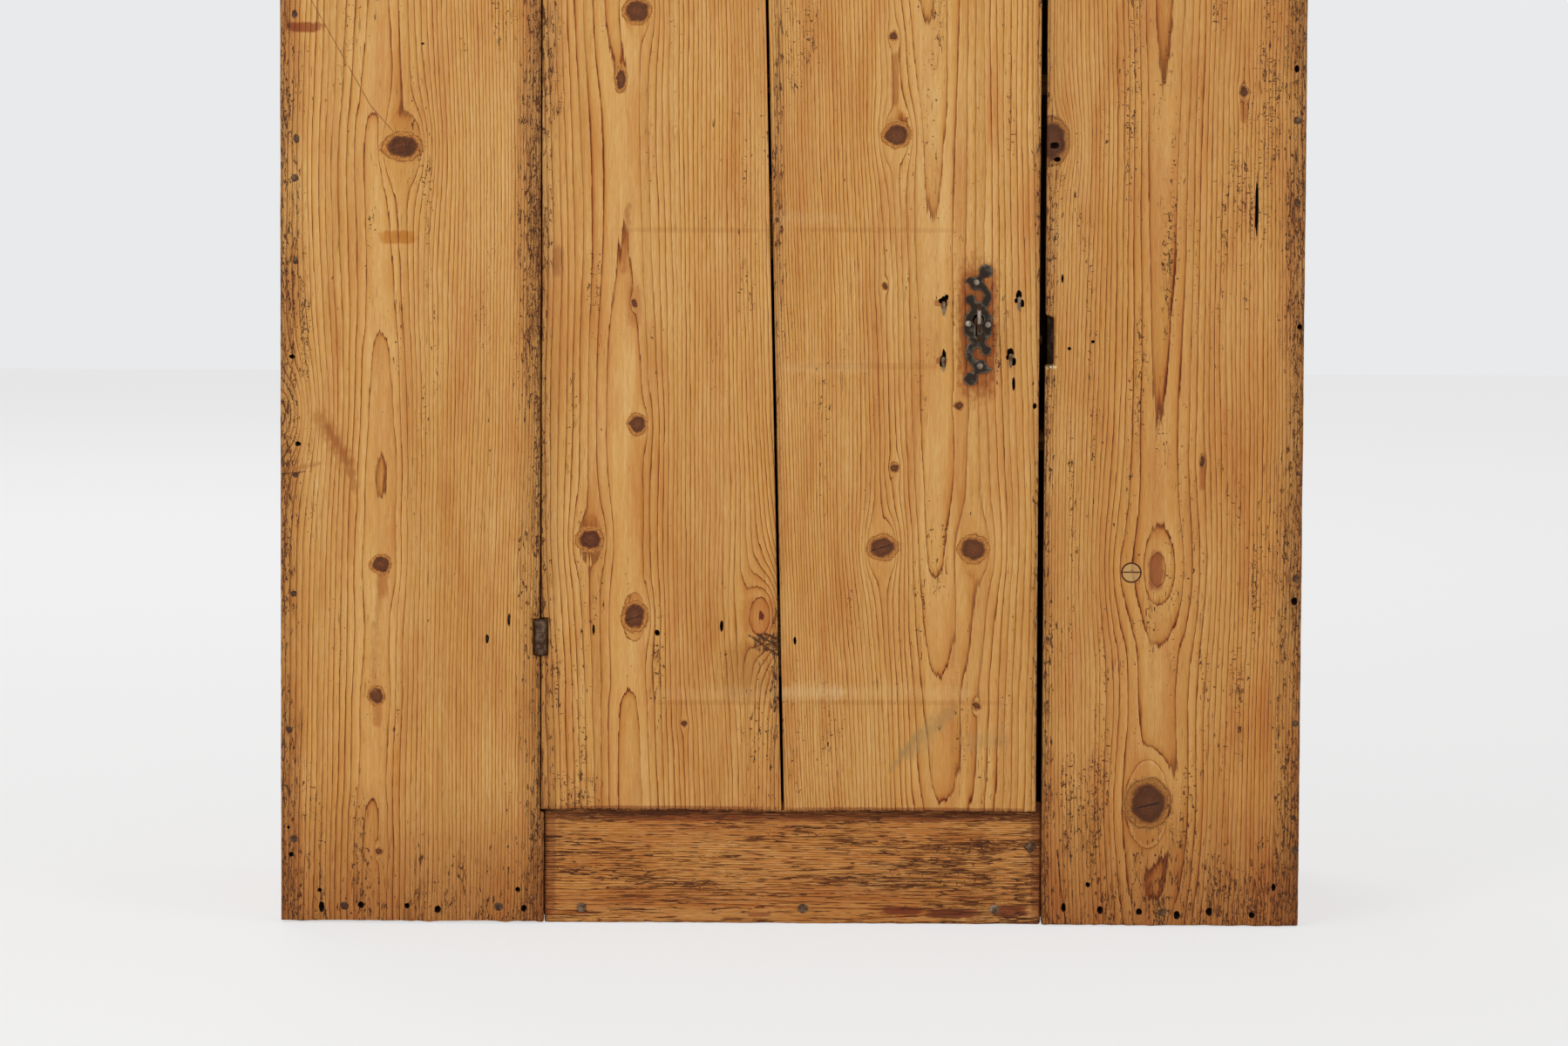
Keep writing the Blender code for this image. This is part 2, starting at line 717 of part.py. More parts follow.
def make_dome_nail(name, x, z, plate, plank):
    """A small round-headed nail through the keyhole plate into the door."""
    seat = -fit_gap - plate_thickness - fit_gap
    hole_radius = dome_shank_radius + fit_gap
    reach = (-plate_thickness - cutter_overrun, dome_shank_length + fit_gap)
    nail_hole(plate, f"{name}_plate_hole", x, z, hole_radius, reach)
    nail_hole(plank, f"{name}_plank_hole", x, z, hole_radius, reach)
    profile = [(0, seat - dome_height)]
    for angle in (30, 60):
        share = radians(angle)
        profile.append((dome_radius * sin(share), seat - dome_height * cos(share)))
    profile += [(dome_radius, seat), (dome_shank_radius, seat)]
    profile += [(dome_shank_radius, dome_shank_length - shank_point / 2), (0, dome_shank_length)]
    return turned(name, profile, "Y", wrought_iron, (x, front_y, z), sides=12)


def make_screw(name, x, z, rail, floor):
    """A flat-headed screw through the rail into the floor board's edge."""
    seat = rail_recess - fit_gap
    radius = screw_shank_radius + fit_gap
    end = seat + screw_length
    nail_hole(rail, f"{name}_rail_hole", x, z, radius, (0, rail_recess + rail_thickness + cutter_overrun))
    nail_hole(floor, f"{name}_floor_hole", x, z, radius, (rail_recess + rail_thickness, end + fit_gap))
    profile = [(0, seat - screw_head_height), (screw_head_radius * 0.85, seat - screw_head_height)]
    profile += [(screw_head_radius, seat - screw_head_height / 2), (screw_head_radius, seat)]
    profile += [(screw_shank_radius, seat), (screw_shank_radius, end - shank_point), (0, end)]
    screw = turned(name, profile, "Y", wrought_iron, (x, front_y, z), sides=12)
    slot = box_solid(
        f"{name}_slot",
        (x - 2 * screw_head_radius, front_y + seat - 2 * screw_head_height, z - screw_slot_width / 2),
        (x + 2 * screw_head_radius, front_y + seat - screw_head_height / 2, z + screw_slot_width / 2),
    )
    cut(screw, slot)
    return screw


def make_rose_nail(rail):
    """The forged nail near the rail's right end, with a four-sided head set on its corner."""
    seat = rail_recess - fit_gap
    through = (0, rail_recess + rail_thickness + cutter_overrun)
    nail_hole(rail, "rail_nail_hole", rose_nail_x, rose_nail_z, rose_shank_radius + fit_gap, through)
    end = seat + rose_nail_length
    profile = [(0, seat - rose_head_height), (rose_head_radius, seat), (rose_shank_radius, seat)]
    profile += [(rose_shank_radius, end - shank_point), (0, end)]
    return turned("rail_nail", profile, "Y", wrought_iron, (rose_nail_x, front_y, rose_nail_z), sides=4)


def make_lock_nail(name, x, z, plank, case):
    """A nail driven from the case's back through the door and clenched along the grain."""
    case_back = door_thickness + fit_gap + case_depth
    hole_radius = lock_nail_radius + fit_gap
    through = (-cutter_overrun, door_thickness + cutter_overrun)
    nail_hole(plank, f"{name}_plank_hole", x, z, hole_radius, through)
    through = (case_back - 2 * case_wall, case_back + cutter_overrun)
    nail_hole(case, f"{name}_case_hole", x, z, hole_radius, through)
    head = case_back + fit_gap
    profile = [(0, -clench_height), (lock_nail_radius, -clench_height), (lock_nail_radius, head)]
    profile += [(lock_nail_head_radius, head), (lock_nail_head_radius * 0.6, head + lock_nail_head_height)]
    profile += [(0, head + lock_nail_head_height)]
    nail = turned(name, profile, "Y", wrought_iron, (x, front_y, z), sides=12)
    half = clench_width / 2
    top = z + 2 * lock_nail_radius
    low = top - clench_length
    shoulder = low + clench_length * 0.3
    outline = [(x, top), (x - half, z + lock_nail_radius), (x - half * 0.8, shoulder), (x, low)]
    outline += [(x + half * 0.8, shoulder), (x + half, z + lock_nail_radius)]
    near = front_y - fit_gap - clench_height
    point = extruded(f"{name}_point", outline, near, front_y - fit_gap, "Y", None)
    add(nail, point)
    return nail


def make_lock(plank):
    """Everything of the lock that the door carries."""
    case = make_lock_case()
    spring = make_spring()
    plate = make_keyhole_plate()
    pieces = [case, spring, plate]
    middle = key_z - plate_below_key
    for number, (x, z) in enumerate(plate_nail_places, 1):
        name = f"escutcheon_nail_{number}"
        pieces.append(make_dome_nail(name, key_x + x, middle + z, plate, plank))
    for number, (x, z) in enumerate(lock_nail_places, 1):
        pieces.append(make_lock_nail(f"lock_nail_{number}", key_x + x, key_z + z, plank, case))
    return pieces


remove_everything()
pine = finish("aged pine", (0.55, 0.30, 0.12), 0.55)
pine_inside = finish("inner pine", (0.47, 0.29, 0.14), 0.75)
wrought_iron = finish("wrought iron", (0.07, 0.06, 0.055), 0.50, 0.8)

make_left_stile()
make_right_stile()
bottom_rail = make_rail("bottom_rail", 0, bottom_rail_height)
make_rail("top_rail", top_rail_z, frame_top)
front_floor_board = make_carcase()
make_shelves()
left_plank, right_plank, door_battens = make_door()
lower_leaf = make_hinge("lower", lower_hinge_z)
upper_leaf = make_hinge("upper", upper_hinge_z)
lock_pieces = make_lock(right_plank)
lock_bolt = make_bolt()
door_key = make_key()
make_keeper()
screw_z = floor_underside + floor_thickness / 2
first_screw = rail_left + screw_inset_left
last_screw = opening_right - screw_inset_right
middle_screw = (first_screw + last_screw) / 2 + screw_middle_offset
for screw_number, screw_x in enumerate((first_screw, middle_screw, last_screw), 1):
    make_screw(f"rail_screw_{screw_number}", screw_x, screw_z, bottom_rail, front_floor_board)
make_rose_nail(bottom_rail)

door_axis = axis_empty("door_axis", (hinge_x, front_y, 0))
carry(door_axis, left_plank, right_plank, *door_battens, lower_leaf, upper_leaf, *lock_pieces)
carry(door_axis, lock_bolt, door_key)
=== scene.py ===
# %% [markdown]
# # A country cupboard in old pine
#
# The real object is a cupboard nailed together from wide pine boards about two hundred years ago,
# with a door of two planks, wrought-iron hinges and a rim lock. The construction comes from the
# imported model, and this script gives it its looks: grain, knots, wear, rust and every small nail.
# The pieces could be modelled afresh, but their sizes and joints are already right, so the script
# dresses them and replaces only those whose surface needs a finer mesh.

import math
import random

import bmesh
import bpy
from mathutils import Matrix, Vector, noise
from mathutils.kdtree import KDTree


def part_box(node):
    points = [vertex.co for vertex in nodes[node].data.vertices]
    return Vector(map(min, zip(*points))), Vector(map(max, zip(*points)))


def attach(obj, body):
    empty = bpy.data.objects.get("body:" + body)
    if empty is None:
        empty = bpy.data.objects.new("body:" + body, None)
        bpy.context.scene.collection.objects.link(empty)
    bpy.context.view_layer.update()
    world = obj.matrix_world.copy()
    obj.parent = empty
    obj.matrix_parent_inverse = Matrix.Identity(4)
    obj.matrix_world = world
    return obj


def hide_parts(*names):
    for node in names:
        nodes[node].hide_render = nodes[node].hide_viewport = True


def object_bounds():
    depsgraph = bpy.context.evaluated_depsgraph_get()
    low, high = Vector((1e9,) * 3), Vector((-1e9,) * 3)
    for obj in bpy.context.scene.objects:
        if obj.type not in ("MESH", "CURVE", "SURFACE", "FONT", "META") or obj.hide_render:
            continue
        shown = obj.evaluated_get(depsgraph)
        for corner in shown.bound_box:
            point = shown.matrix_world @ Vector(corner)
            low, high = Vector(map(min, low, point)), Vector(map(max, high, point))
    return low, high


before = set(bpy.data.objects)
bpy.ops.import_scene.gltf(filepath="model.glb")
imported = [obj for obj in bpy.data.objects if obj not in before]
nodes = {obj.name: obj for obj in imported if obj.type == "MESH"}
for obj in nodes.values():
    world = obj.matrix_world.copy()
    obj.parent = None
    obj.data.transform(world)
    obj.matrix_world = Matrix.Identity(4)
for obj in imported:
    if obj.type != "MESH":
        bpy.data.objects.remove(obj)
cad_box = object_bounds()
scene = bpy.context.scene
print("pieces in the model:", len(nodes))
print("its box:", [round(value, 4) for corner in cad_box for value in corner])

# %% [markdown]
# ## The camera comes first
#
# The photograph shows the lower part of the front, almost straight on. The camera stands 9 m away
# and 1.35 m up, and looks slightly down, with a long lens, so that the boards' edges stay nearly
# parallel. It could be placed by eye. Here it is set with a few measured numbers, because the same
# numbers then turn a pixel of the photograph into a place on the front.

# %% Camera
FRAME_WIDTH = 1799
FRAME_HEIGHT = 1200
CAMERA_DISTANCE = 9.0
CAMERA_HEIGHT = 1.35
AIM = Vector((-0.008, 0.0, 0.4367))
ROLL = math.radians(0.27)
METRES_PER_PIXEL = 0.938e-3
SENSOR_WIDTH = 36.0

front_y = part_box("left_stile")[0].y
AIM.y = front_y
eye = Vector((AIM.x, front_y - CAMERA_DISTANCE, CAMERA_HEIGHT))
sight = (AIM - eye).normalized()
level_right = sight.cross(Vector((0, 0, 1))).normalized()
level_up = level_right.cross(sight)
camera_right = level_right * math.cos(ROLL) + level_up * math.sin(ROLL)
camera_up = level_up * math.cos(ROLL) - level_right * math.sin(ROLL)
focal_pixels = (AIM - eye).length / METRES_PER_PIXEL

camera_data = bpy.data.cameras.new("long lens")
camera_data.sensor_width = SENSOR_WIDTH
camera_data.lens = focal_pixels * SENSOR_WIDTH / FRAME_WIDTH
camera = bpy.data.objects.new("camera", camera_data)
camera.matrix_world = Matrix.Translation(eye) @ Matrix(
    (camera_right, camera_up, -sight)
).transposed().to_4x4()
scene.collection.objects.link(camera)
scene.camera = camera
print("lens:", round(camera_data.lens, 1), "mm")


# %% From a pixel to a place on the front
def on_front(pixel_x, pixel_y, depth=0.0):
    """The point that shows at a pixel of the photograph, on a plane `depth` behind the front."""
    right = (pixel_x - FRAME_WIDTH / 2) / focal_pixels
    down = (pixel_y - FRAME_HEIGHT / 2) / focal_pixels
    ray = sight + camera_right * right - camera_up * down
    return eye + ray * ((front_y + depth - eye.y) / ray.y)


def across_and_up(pixel_x, pixel_y):
    """The x and z of a pixel on the front plane."""
    point = on_front(pixel_x, pixel_y)
    return point.x, point.z


print("the door joint's foot:", [round(value, 4) for value in across_and_up(898, 925)])

# %% [markdown]
# ## Two small helpers for every finish
#
# Colours are written as sRGB hex values, as a paint chart gives them, but shaders work with linear
# light. One function converts them. A second one adds a node, sets it up and links it, so that each
# finish reads as a short list of steps instead of pages of wiring. Its kind can name an operation
# after a dot, as in Math.ADD, and the values that follow go into the node's sockets in order.


# %% Colour and node helpers
def colour(hex_value):
    """An sRGB hex colour as linear red, green, blue and alpha."""
    channels = [int(hex_value[i : i + 2], 16) / 255 for i in (1, 3, 5)]
    linear = [c / 12.92 if c <= 0.04045 else ((c + 0.055) / 1.055) ** 2.4 for c in channels]
    return (*linear, 1.0)


def add(tree, kind, *values, named=None, stops=None, points=None, **settings):
    """Add a shader node, set and link it, and return its first output that is in use."""
    kind, _, operation = kind.partition(".")
    made = tree.nodes.new("ShaderNode" + kind)
    if operation:
        made.operation = operation
    for name, value in settings.items():
        setattr(made, name, value)
    live = [socket for socket in made.inputs if socket.enabled]
    wanted = list(zip(live, values))
    wanted += [(next(s for s in live if s.name == name), v) for name, v in (named or {}).items()]
    for socket, value in wanted:
        if isinstance(value, bpy.types.NodeSocket):
            tree.links.new(value, socket)
        else:
            socket.default_value = colour(value) if isinstance(value, str) else value
    if stops:
        elements = made.color_ramp.elements
        elements.remove(elements[1])
        elements[0].position = stops[0][0]
        elements[0].color = colour(stops[0][1])
        for position, hex_value in stops[1:]:
            elements.new(position).color = colour(hex_value)
    if points:
        line = made.mapping.curves[0]
        for position, value in points[2:]:
            line.points.new(position, value)
        for point, (position, value) in zip(line.points, points):
            point.location = (position, value)
        made.mapping.update()
    return next(socket for socket in made.outputs if socket.enabled)


def new_finish(name):
    """An empty material: its node tree and its Principled shader, already wired to the output."""
    material = bpy.data.materials.new(name)
    material.use_nodes = True
    tree = material.node_tree
    tree.nodes.clear()
    shader = tree.nodes.new("ShaderNodeBsdfPrincipled")
    output = tree.nodes.new("ShaderNodeOutputMaterial")
    tree.links.new(shader.outputs[0], output.inputs[0])
    return material, tree, shader


MM = 0.001
print("linear value of mid grey #808080:", round(colour("#808080")[0], 3))

# %% [markdown]
# ## Old pine, sawn flat and waxed
#
# A softwood board shows the tree's yearly rings. Each ring is pale spring wood that darkens into a
# thin brown line of late wood, and the surface cuts the rings at a slant, so the middle of a board
# shows long arches and its sides show fine parallel lines. The pattern could be painted with a
# stretched wave texture, but then the ends and edges of the board would not agree with its face.
# So the ring number is worked out in space: the distance from the tree's heart, divided by the
# width of a ring. The arches, the fine lines and the arcs on the end grain then follow by
# themselves, and knots only have to push that distance about.

# %% Places on a board
RING_WIDTH = 5.3 * MM
RING_TIGHTENING = 0.009
RINGS_HIGH = 12.0
TALLEST = 1.6
APART = (1.37, 2.11, 0.73)


def board_places(tree, along, across, through, seed):
    """Sockets for a place on a board: across the grain, along it, into it, all three, shifted."""
    place = add(tree, "TexCoord").node.outputs["Object"]
    split = add(tree, "SeparateXYZ", place).node.outputs
    plain = add(tree, "CombineXYZ", split[across], split[along], split[through])
    shift = [seed * far for far in APART]
    shifted = add(tree, "VectorMath.ADD", plain, shift)
    return split[across], split[along], split[through], plain, shifted


def grain_noise(tree, board, grain_width, grain_length, detail):
    """Noise whose features have one width across the grain and one length along it, 0 to 1."""
    stretch = (1 / grain_width, 1 / grain_length, 1 / grain_width)
    scaled = add(tree, "VectorMath.MULTIPLY", board, stretch)
    return add(tree, "TexNoise", named={"Vector": scaled, "Scale": 1.0, "Detail": detail})


print("ring width:", RING_WIDTH / MM, "mm")


# %% [markdown]
# ## Knots push the grain aside
#
# A knot is the foot of a branch. The rings flow round it as water flows round a pile, and they bulge
# up round it, which is why a knot often sits in an eye. The lines could be bent by hand, knot by
# knot. The formula for water round a round pile does it for all: it moves each line sideways by
# radius squared over distance squared, and the same number, squared, lifts the ring count near the
# knot. Along the grain the effect is drawn out. Round a swirl, where a branch ran just under the
# surface, the same push fades out towards its middle.

# %% Knots
KNOT_DRAW = 2.1
KNOT_ROOM = 1.15
FAR_OFF = 9.0
FIBRE_TEETH = 0.14
STRAND_TEETH = 0.22


def knots_in(tree, plain, warped, across, rings_at_heart, knots):
    """Bend the grain round knots: across, ring counts at the heart and on top, nearest knot."""
    nearest = FAR_OFF
    bulge = -(FIBRE_TEETH + STRAND_TEETH) / 2
    for x, z, half_width, half_height, lift, is_knot in knots:
        radius = half_width * KNOT_ROOM
        drawn = 1 / radius / KNOT_DRAW
        centre = (-x / radius, -z * drawn, 0.0)
        flow = add(tree, "VectorMath.MULTIPLY_ADD", plain, (1 / radius, drawn, 0.0), centre)
        squared = add(tree, "VectorMath.DOT_PRODUCT", flow, flow)
        if not is_knot:
            squared = add(tree, "Math.ADD", squared, 1.0)
        push = add(tree, "Math.DIVIDE", 1.0, squared, use_clamp=True)
        sideways = add(tree, "SeparateXYZ", flow)
        step = add(tree, "Math.MULTIPLY", sideways, push)
        across = add(tree, "Math.MULTIPLY_ADD", step, -radius, across)
        swell = add(tree, "Math.MULTIPLY", push, push)
        if not is_knot:
            bulge = add(tree, "Math.MULTIPLY_ADD", swell, lift, bulge)
            continue
        rings_at_heart = add(tree, "Math.MULTIPLY_ADD", swell, lift, rings_at_heart)
        stretch = (1 / half_width, 1 / half_height, 0.0)
        centre = (-x / half_width, -z / half_height, 0.0)
        disc = add(tree, "VectorMath.MULTIPLY_ADD", warped, stretch, centre)
        distance = add(tree, "VectorMath.LENGTH", disc)
        nearest = add(tree, "Math.MINIMUM", distance, nearest)
    return across, rings_at_heart, bulge, nearest


print("a knot's eye is", KNOT_DRAW, "times as long as it is wide")


# %% [markdown]
# ## From places to rings
#
# Three things keep the lines from looking ruled: the whole tree wanders by a few millimetres over
# half a metre, each line wiggles by half a millimetre, and some years were better than others, so
# the rings are not equally wide. The number of rings at the heart line is a curve up the board, and
# wherever it passes a whole number, an arch closes there. The points of that curve are therefore
# the places of the arches' tips.

# %% Rings
TREE_WANDER = (70 * MM, 420 * MM)
WANDER_BY = 11 * MM
LINE_WIGGLE = (9 * MM, 55 * MM)
WIGGLE_BY = 2.2 * MM
RIM_SHAKE = 9 * MM
SHAKE_BY = 8 * MM
YEARS_APART = 0.9
YEARS_FOLLOW = 0.42
EVEN_NEAR_HEART = 0.15
FLAT_AT_HEART = 14


def bent_places(tree, across, plain, board):
    """Across with the wander and the wiggle added, and places shaken a little for knots."""
    wander = grain_noise(tree, board, *TREE_WANDER, 1.0)
    wiggle = grain_noise(tree, board, *LINE_WIGGLE, 3.0)
    centred = -(WANDER_BY + WIGGLE_BY) / 2
    bent = add(tree, "Math.MULTIPLY_ADD", wander, WANDER_BY, centred)
    bent = add(tree, "Math.MULTIPLY_ADD", wiggle, WIGGLE_BY, bent)
    bent = add(tree, "Math.ADD", bent, across)
    shaken = grain_noise(tree, board, RIM_SHAKE, RIM_SHAKE, 3.0).node.outputs["Color"]
    warped = add(tree, "VectorMath.MULTIPLY_ADD", shaken, (SHAKE_BY, SHAKE_BY, 0), plain)
    return bent, add(tree, "VectorMath.SUBTRACT", warped, (SHAKE_BY / 2, SHAKE_BY / 2, 0))


def rings_in(tree, places, heart, growth, spread, knots):
    """The ring count, how near the heart line is (1 on it), and the nearest knot's distance."""
    across, along, through, plain, board = places
    heart_at, heart_lean, face = heart
    bent, warped = bent_places(tree, across, plain, board)
    curve = [(z / TALLEST, rings / RINGS_HIGH) for z, rings in growth]
    height = add(tree, "Math.DIVIDE", along, TALLEST)
    at_heart = add(tree, "FloatCurve", 1.0, height, points=curve)
    at_heart = add(tree, "Math.MULTIPLY", at_heart, RINGS_HIGH)
    bent, at_heart, bulge, nearest = knots_in(tree, plain, warped, bent, at_heart, knots)
    into = add(tree, "Math.SUBTRACT", through, face)
    at_heart = add(tree, "Math.MULTIPLY_ADD", into, 1 / RING_WIDTH, at_heart)
    slant = add(tree, "Math.MULTIPLY_ADD", along, -heart_lean, -heart_at)
    side = add(tree, "Math.ADD", bent, slant)
    left = add(tree, "Math.MULTIPLY", side, 1 / (RING_WIDTH * spread[0]))
    right = add(tree, "Math.MULTIPLY", side, 1 / (RING_WIDTH * spread[1]))
    wider_left = spread[0] > spread[1]
    side = add(tree, "Math.MAXIMUM" if wider_left else "Math.MINIMUM", left, right)
    side_squared = add(tree, "Math.MULTIPLY", side, side)
    radius = add(tree, "Math.MULTIPLY_ADD", at_heart, at_heart, side_squared)
    radius = add(tree, "Math.SQRT", radius)
    rings = add(tree, "Math.MULTIPLY_ADD", side_squared, RING_TIGHTENING, radius)
    rings = add(tree, "Math.ADD", rings, bulge)
    years = {"W": side, "Scale": YEARS_FOLLOW, "Detail": 1.0}
    years = add(tree, "TexNoise", named=years, noise_dimensions="1D")
    years = add(tree, "Math.MULTIPLY_ADD", years, YEARS_APART, -YEARS_APART / 2)
    away = add(tree, "Math.MULTIPLY", side_squared, EVEN_NEAR_HEART, use_clamp=True)
    flat = -1 / FLAT_AT_HEART
    near_heart = add(tree, "Math.MULTIPLY_ADD", side_squared, flat, 1.0, use_clamp=True)
    return add(tree, "Math.MULTIPLY_ADD", years, away, rings), near_heart, nearest


print("the tree wanders over", TREE_WANDER[1] / MM, "mm, a line over", LINE_WIGGLE[1] / MM, "mm")

# %% [markdown]
# ## Wax, dirt and worm
#
# Two centuries leave their own marks over the grain. Long streaks of wax and sap make some lines
# deeper than others, short black checks and tiny holes follow the grain where the wood has dried,
# hands darken the edges, and the boards get darker towards the foot. One big image could hold all
# this, but it would blur from near by and fit no second board. So each mark is one pattern with a
# real size and one colour, and the colours stand here together. Across a ring and across a knot they
# are ramps.

# %% Colours of old pine
SPRING_TO_LATE = (
    (0.00, "#D6A765"),
    (0.60, "#D09E59"),
    (0.83, "#C48944"),
    (0.895, "#9A5214"),
    (0.932, "#6C2F03"),
    (0.970, "#7C3C07"),
    (0.99, "#CC9956"),
)
KNOT_RINGS = (
    (0.00, "#653417"),
    (0.30, "#572910"),
    (0.50, "#481F08"),
    (0.57, "#6E3A16"),
    (0.63, "#A2652B"),
    (0.74, "#B67A37"),
    (0.79, "#804818"),
    (0.83, "#B47A3A"),
    (1.00, "#C89250"),
)
KNOT_REACH = 1.75
CHECK_COLOUR = "#4C2409"
FURROW_COLOUR = "#602F0A"
FLECK_COLOUR = "#E6D3A8"
DIRT_COLOUR = "#6E3A10"
PLAIN_COLOUR = "#C38E49"
PLUG_COLOUR = "#BE9A62"
DARKER_AT_FOOT = "#E6C8B4"
RUDDY = "#F3E0D4"
print("colours across a ring:", len(SPRING_TO_LATE), "and across a knot:", len(KNOT_RINGS))

# %% [markdown]
# ## Checks, pits and dirty edges
#
# Dry wood shrinks and splits along its fibres, worms and grit leave pits a millimetre across, and
# dirty hands darken the edges. The checks could be drawn one by one. Here they are the places where
# a stretched noise passes its middle value, which gives fine lines that hook and break as the real
# ones do. Pits are the highest places of a fine noise and pale flecks are its lowest.

# %% Patterns all over a board
CHECK_OPENING = 0.034
PIT_SIZE = (1.1 * MM, 1.7 * MM)
PITS_ABOVE = 0.785
FLECKS_BELOW = 0.235
FURROW_LENGTH = 24 * MM
RAGGED_EDGE = (12 * MM, 130 * MM)


def checks_in(tree, board, amount, width, length):
    """Short crooked checks between hills of that width and length, 0 or 1."""
    crooked = grain_noise(tree, board, width, length, 3.0)
    off_middle = add(tree, "Math.SUBTRACT", crooked, 0.5)
    off_middle = add(tree, "Math.ABSOLUTE", off_middle)
    thin = add(tree, "Math.LESS_THAN", off_middle, CHECK_OPENING)
    broken = grain_noise(tree, board, 4 * MM, 0.8 * length, 2.0)
    reach = add(tree, "Math.MULTIPLY_ADD", amount, -0.38, 0.80)
    here = add(tree, "Math.GREATER_THAN", broken, reach)
    return add(tree, "Math.MULTIPLY", thin, here)


def pits_in(tree, board, amount):
    """Pits a millimetre across, crowded where the amount is high, and pale flecks; 0 or 1."""
    grit = grain_noise(tree, board, *PIT_SIZE, 2.0)
    reach = add(tree, "Math.MULTIPLY_ADD", amount, -0.15, PITS_ABOVE)
    flecks = add(tree, "Math.LESS_THAN", grit, FLECKS_BELOW)
    return add(tree, "Math.GREATER_THAN", grit, reach), flecks


def furrows_in(tree, board, amount, weathered):
    """Dark furrows between the fibres, 0 to 1, close together and thin on weathered wood."""
    width = (1.3 - 0.3 * weathered) * MM
    fibres = grain_noise(tree, board, width, FURROW_LENGTH, 3.0)
    reach = add(tree, "Math.MULTIPLY_ADD", amount, -0.17, 0.70 + 0.04 * weathered)
    over = add(tree, "Math.SUBTRACT", fibres, reach)
    return add(tree, "Math.MULTIPLY", over, 14 + 16 * weathered, use_clamp=True)


def edge_wear(tree, across, board, edges):
    """How dark and worn a board is towards its two long edges, 0 to 1."""
    total = 0.0
    ragged = grain_noise(tree, board, *RAGGED_EDGE, 3.0)
    for place, width, strength in edges:
        gap = add(tree, "Math.SUBTRACT", across, place)
        gap = add(tree, "Math.ABSOLUTE", gap)
        gap = add(tree, "Math.MULTIPLY_ADD", gap, -1 / width, 0.55)
        near = add(tree, "Math.ADD", gap, ragged, use_clamp=True)
        total = add(tree, "Math.MULTIPLY_ADD", near, strength, total)
    return total


print("pits:", PIT_SIZE[0] / MM, "by", PIT_SIZE[1] / MM, "mm")

# %% [markdown]
# ## Marks with a place of their own
#
# A scratch, a smear of resin, the stain round a nail or the plug in an old hole sits at one spot of
# one board. It could be painted on an image by hand. A formula does it without one: the distance to
# a line, a circle or a point decides where the mark lies, and a fine noise makes its rim ragged. A
# stroke is drawn between two ends and tapers off past them. A plug is a sawn round end with a slot.

# %% Strokes, plugs and spots
STROKE_RAGGED = 2.4
STROKE_FADES_FROM = 2.5
STROKE_FULL_WITHIN = 1.4
SPOT_RAGGED = 1.2
SPOT_FADES_FROM = 1.85
SPOT_FULL_WITHIN = 1.05
PLUG_OUTLINE = 0.09
PLUG_SLOT = (0.05, 0.07)
PLUG_COVER = 0.7


def stroke_in(tree, plain, rough, start, end, half_width, strength):
    """A ragged stroke between two places given as x and z, 0 to its strength."""
    run = (Vector(end) - Vector(start)).normalized()
    middle = (Vector(start) + Vector(end)) / 2
    sideways = Vector((-run.y, run.x))
    beside = add(tree, "VectorMath.DOT_PRODUCT", plain, (*sideways, 0))
    beside = add(tree, "Math.SUBTRACT", beside, sideways.dot(middle))
    beside = add(tree, "Math.ABSOLUTE", beside)
    beside = add(tree, "Math.MULTIPLY_ADD", rough, STROKE_RAGGED * half_width, beside)
    half_length = (Vector(end) - Vector(start)).length / 2
    past = add(tree, "VectorMath.DOT_PRODUCT", plain, (*run, 0))
    past = add(tree, "Math.SUBTRACT", past, run.dot(middle))
    past = add(tree, "Math.ABSOLUTE", past)
    past = add(tree, "Math.SUBTRACT", past, half_length)
    past = add(tree, "Math.MAXIMUM", past, 0.0)
    beside = add(tree, "Math.ADD", beside, past)
    limits = {"Value": beside, "To Max": strength}
    limits["From Min"] = STROKE_FADES_FROM * half_width
    limits["From Max"] = STROKE_FULL_WITHIN * half_width
    return add(tree, "MapRange", named=limits)


def plug_in(tree, plain, x, z, radius):
    """A round wooden plug: its dark outline with the slot sawn across it, and its face; 0 or 1."""
    centre = (-x / radius, -z / radius, 0)
    place = add(tree, "VectorMath.MULTIPLY_ADD", plain, (1 / radius, 1 / radius, 0), centre)
    distance = add(tree, "VectorMath.LENGTH", place)
    outline = add(tree, "Math.COMPARE", distance, 1.0, PLUG_OUTLINE)
    inside = add(tree, "Math.LESS_THAN", distance, 1.0)
    upright = add(tree, "SeparateXYZ", place).node.outputs["Y"]
    slot = add(tree, "Math.COMPARE", upright, *PLUG_SLOT)
    slot = add(tree, "Math.MULTIPLY", slot, inside)
    face = add(tree, "Math.MULTIPLY", inside, PLUG_COVER)
    return add(tree, "Math.MAXIMUM", outline, slot), face


def spot_in(tree, plain, rough, x, z, half_width, half_height, strength):
    """A spot with squarish, ragged sides, 0 to its strength."""
    centre = (-x / half_width, -z / half_height, 0)
    size = (1 / half_width, 1 / half_height, 0)
    spot = add(tree, "VectorMath.MULTIPLY_ADD", plain, size, centre)
    spot = add(tree, "VectorMath.MULTIPLY", spot, spot)
    distance = add(tree, "VectorMath.LENGTH", spot)
    distance = add(tree, "Math.MULTIPLY_ADD", rough, SPOT_RAGGED, distance)
    limits = {"Value": distance, "To Max": strength}
    limits["From Min"] = SPOT_FADES_FROM
    limits["From Max"] = SPOT_FULL_WITHIN
    return add(tree, "MapRange", named=limits, interpolation_type="SMOOTHSTEP")


print("a stroke fades out from", STROKE_FULL_WITHIN, "to", STROKE_FADES_FROM, "half widths")

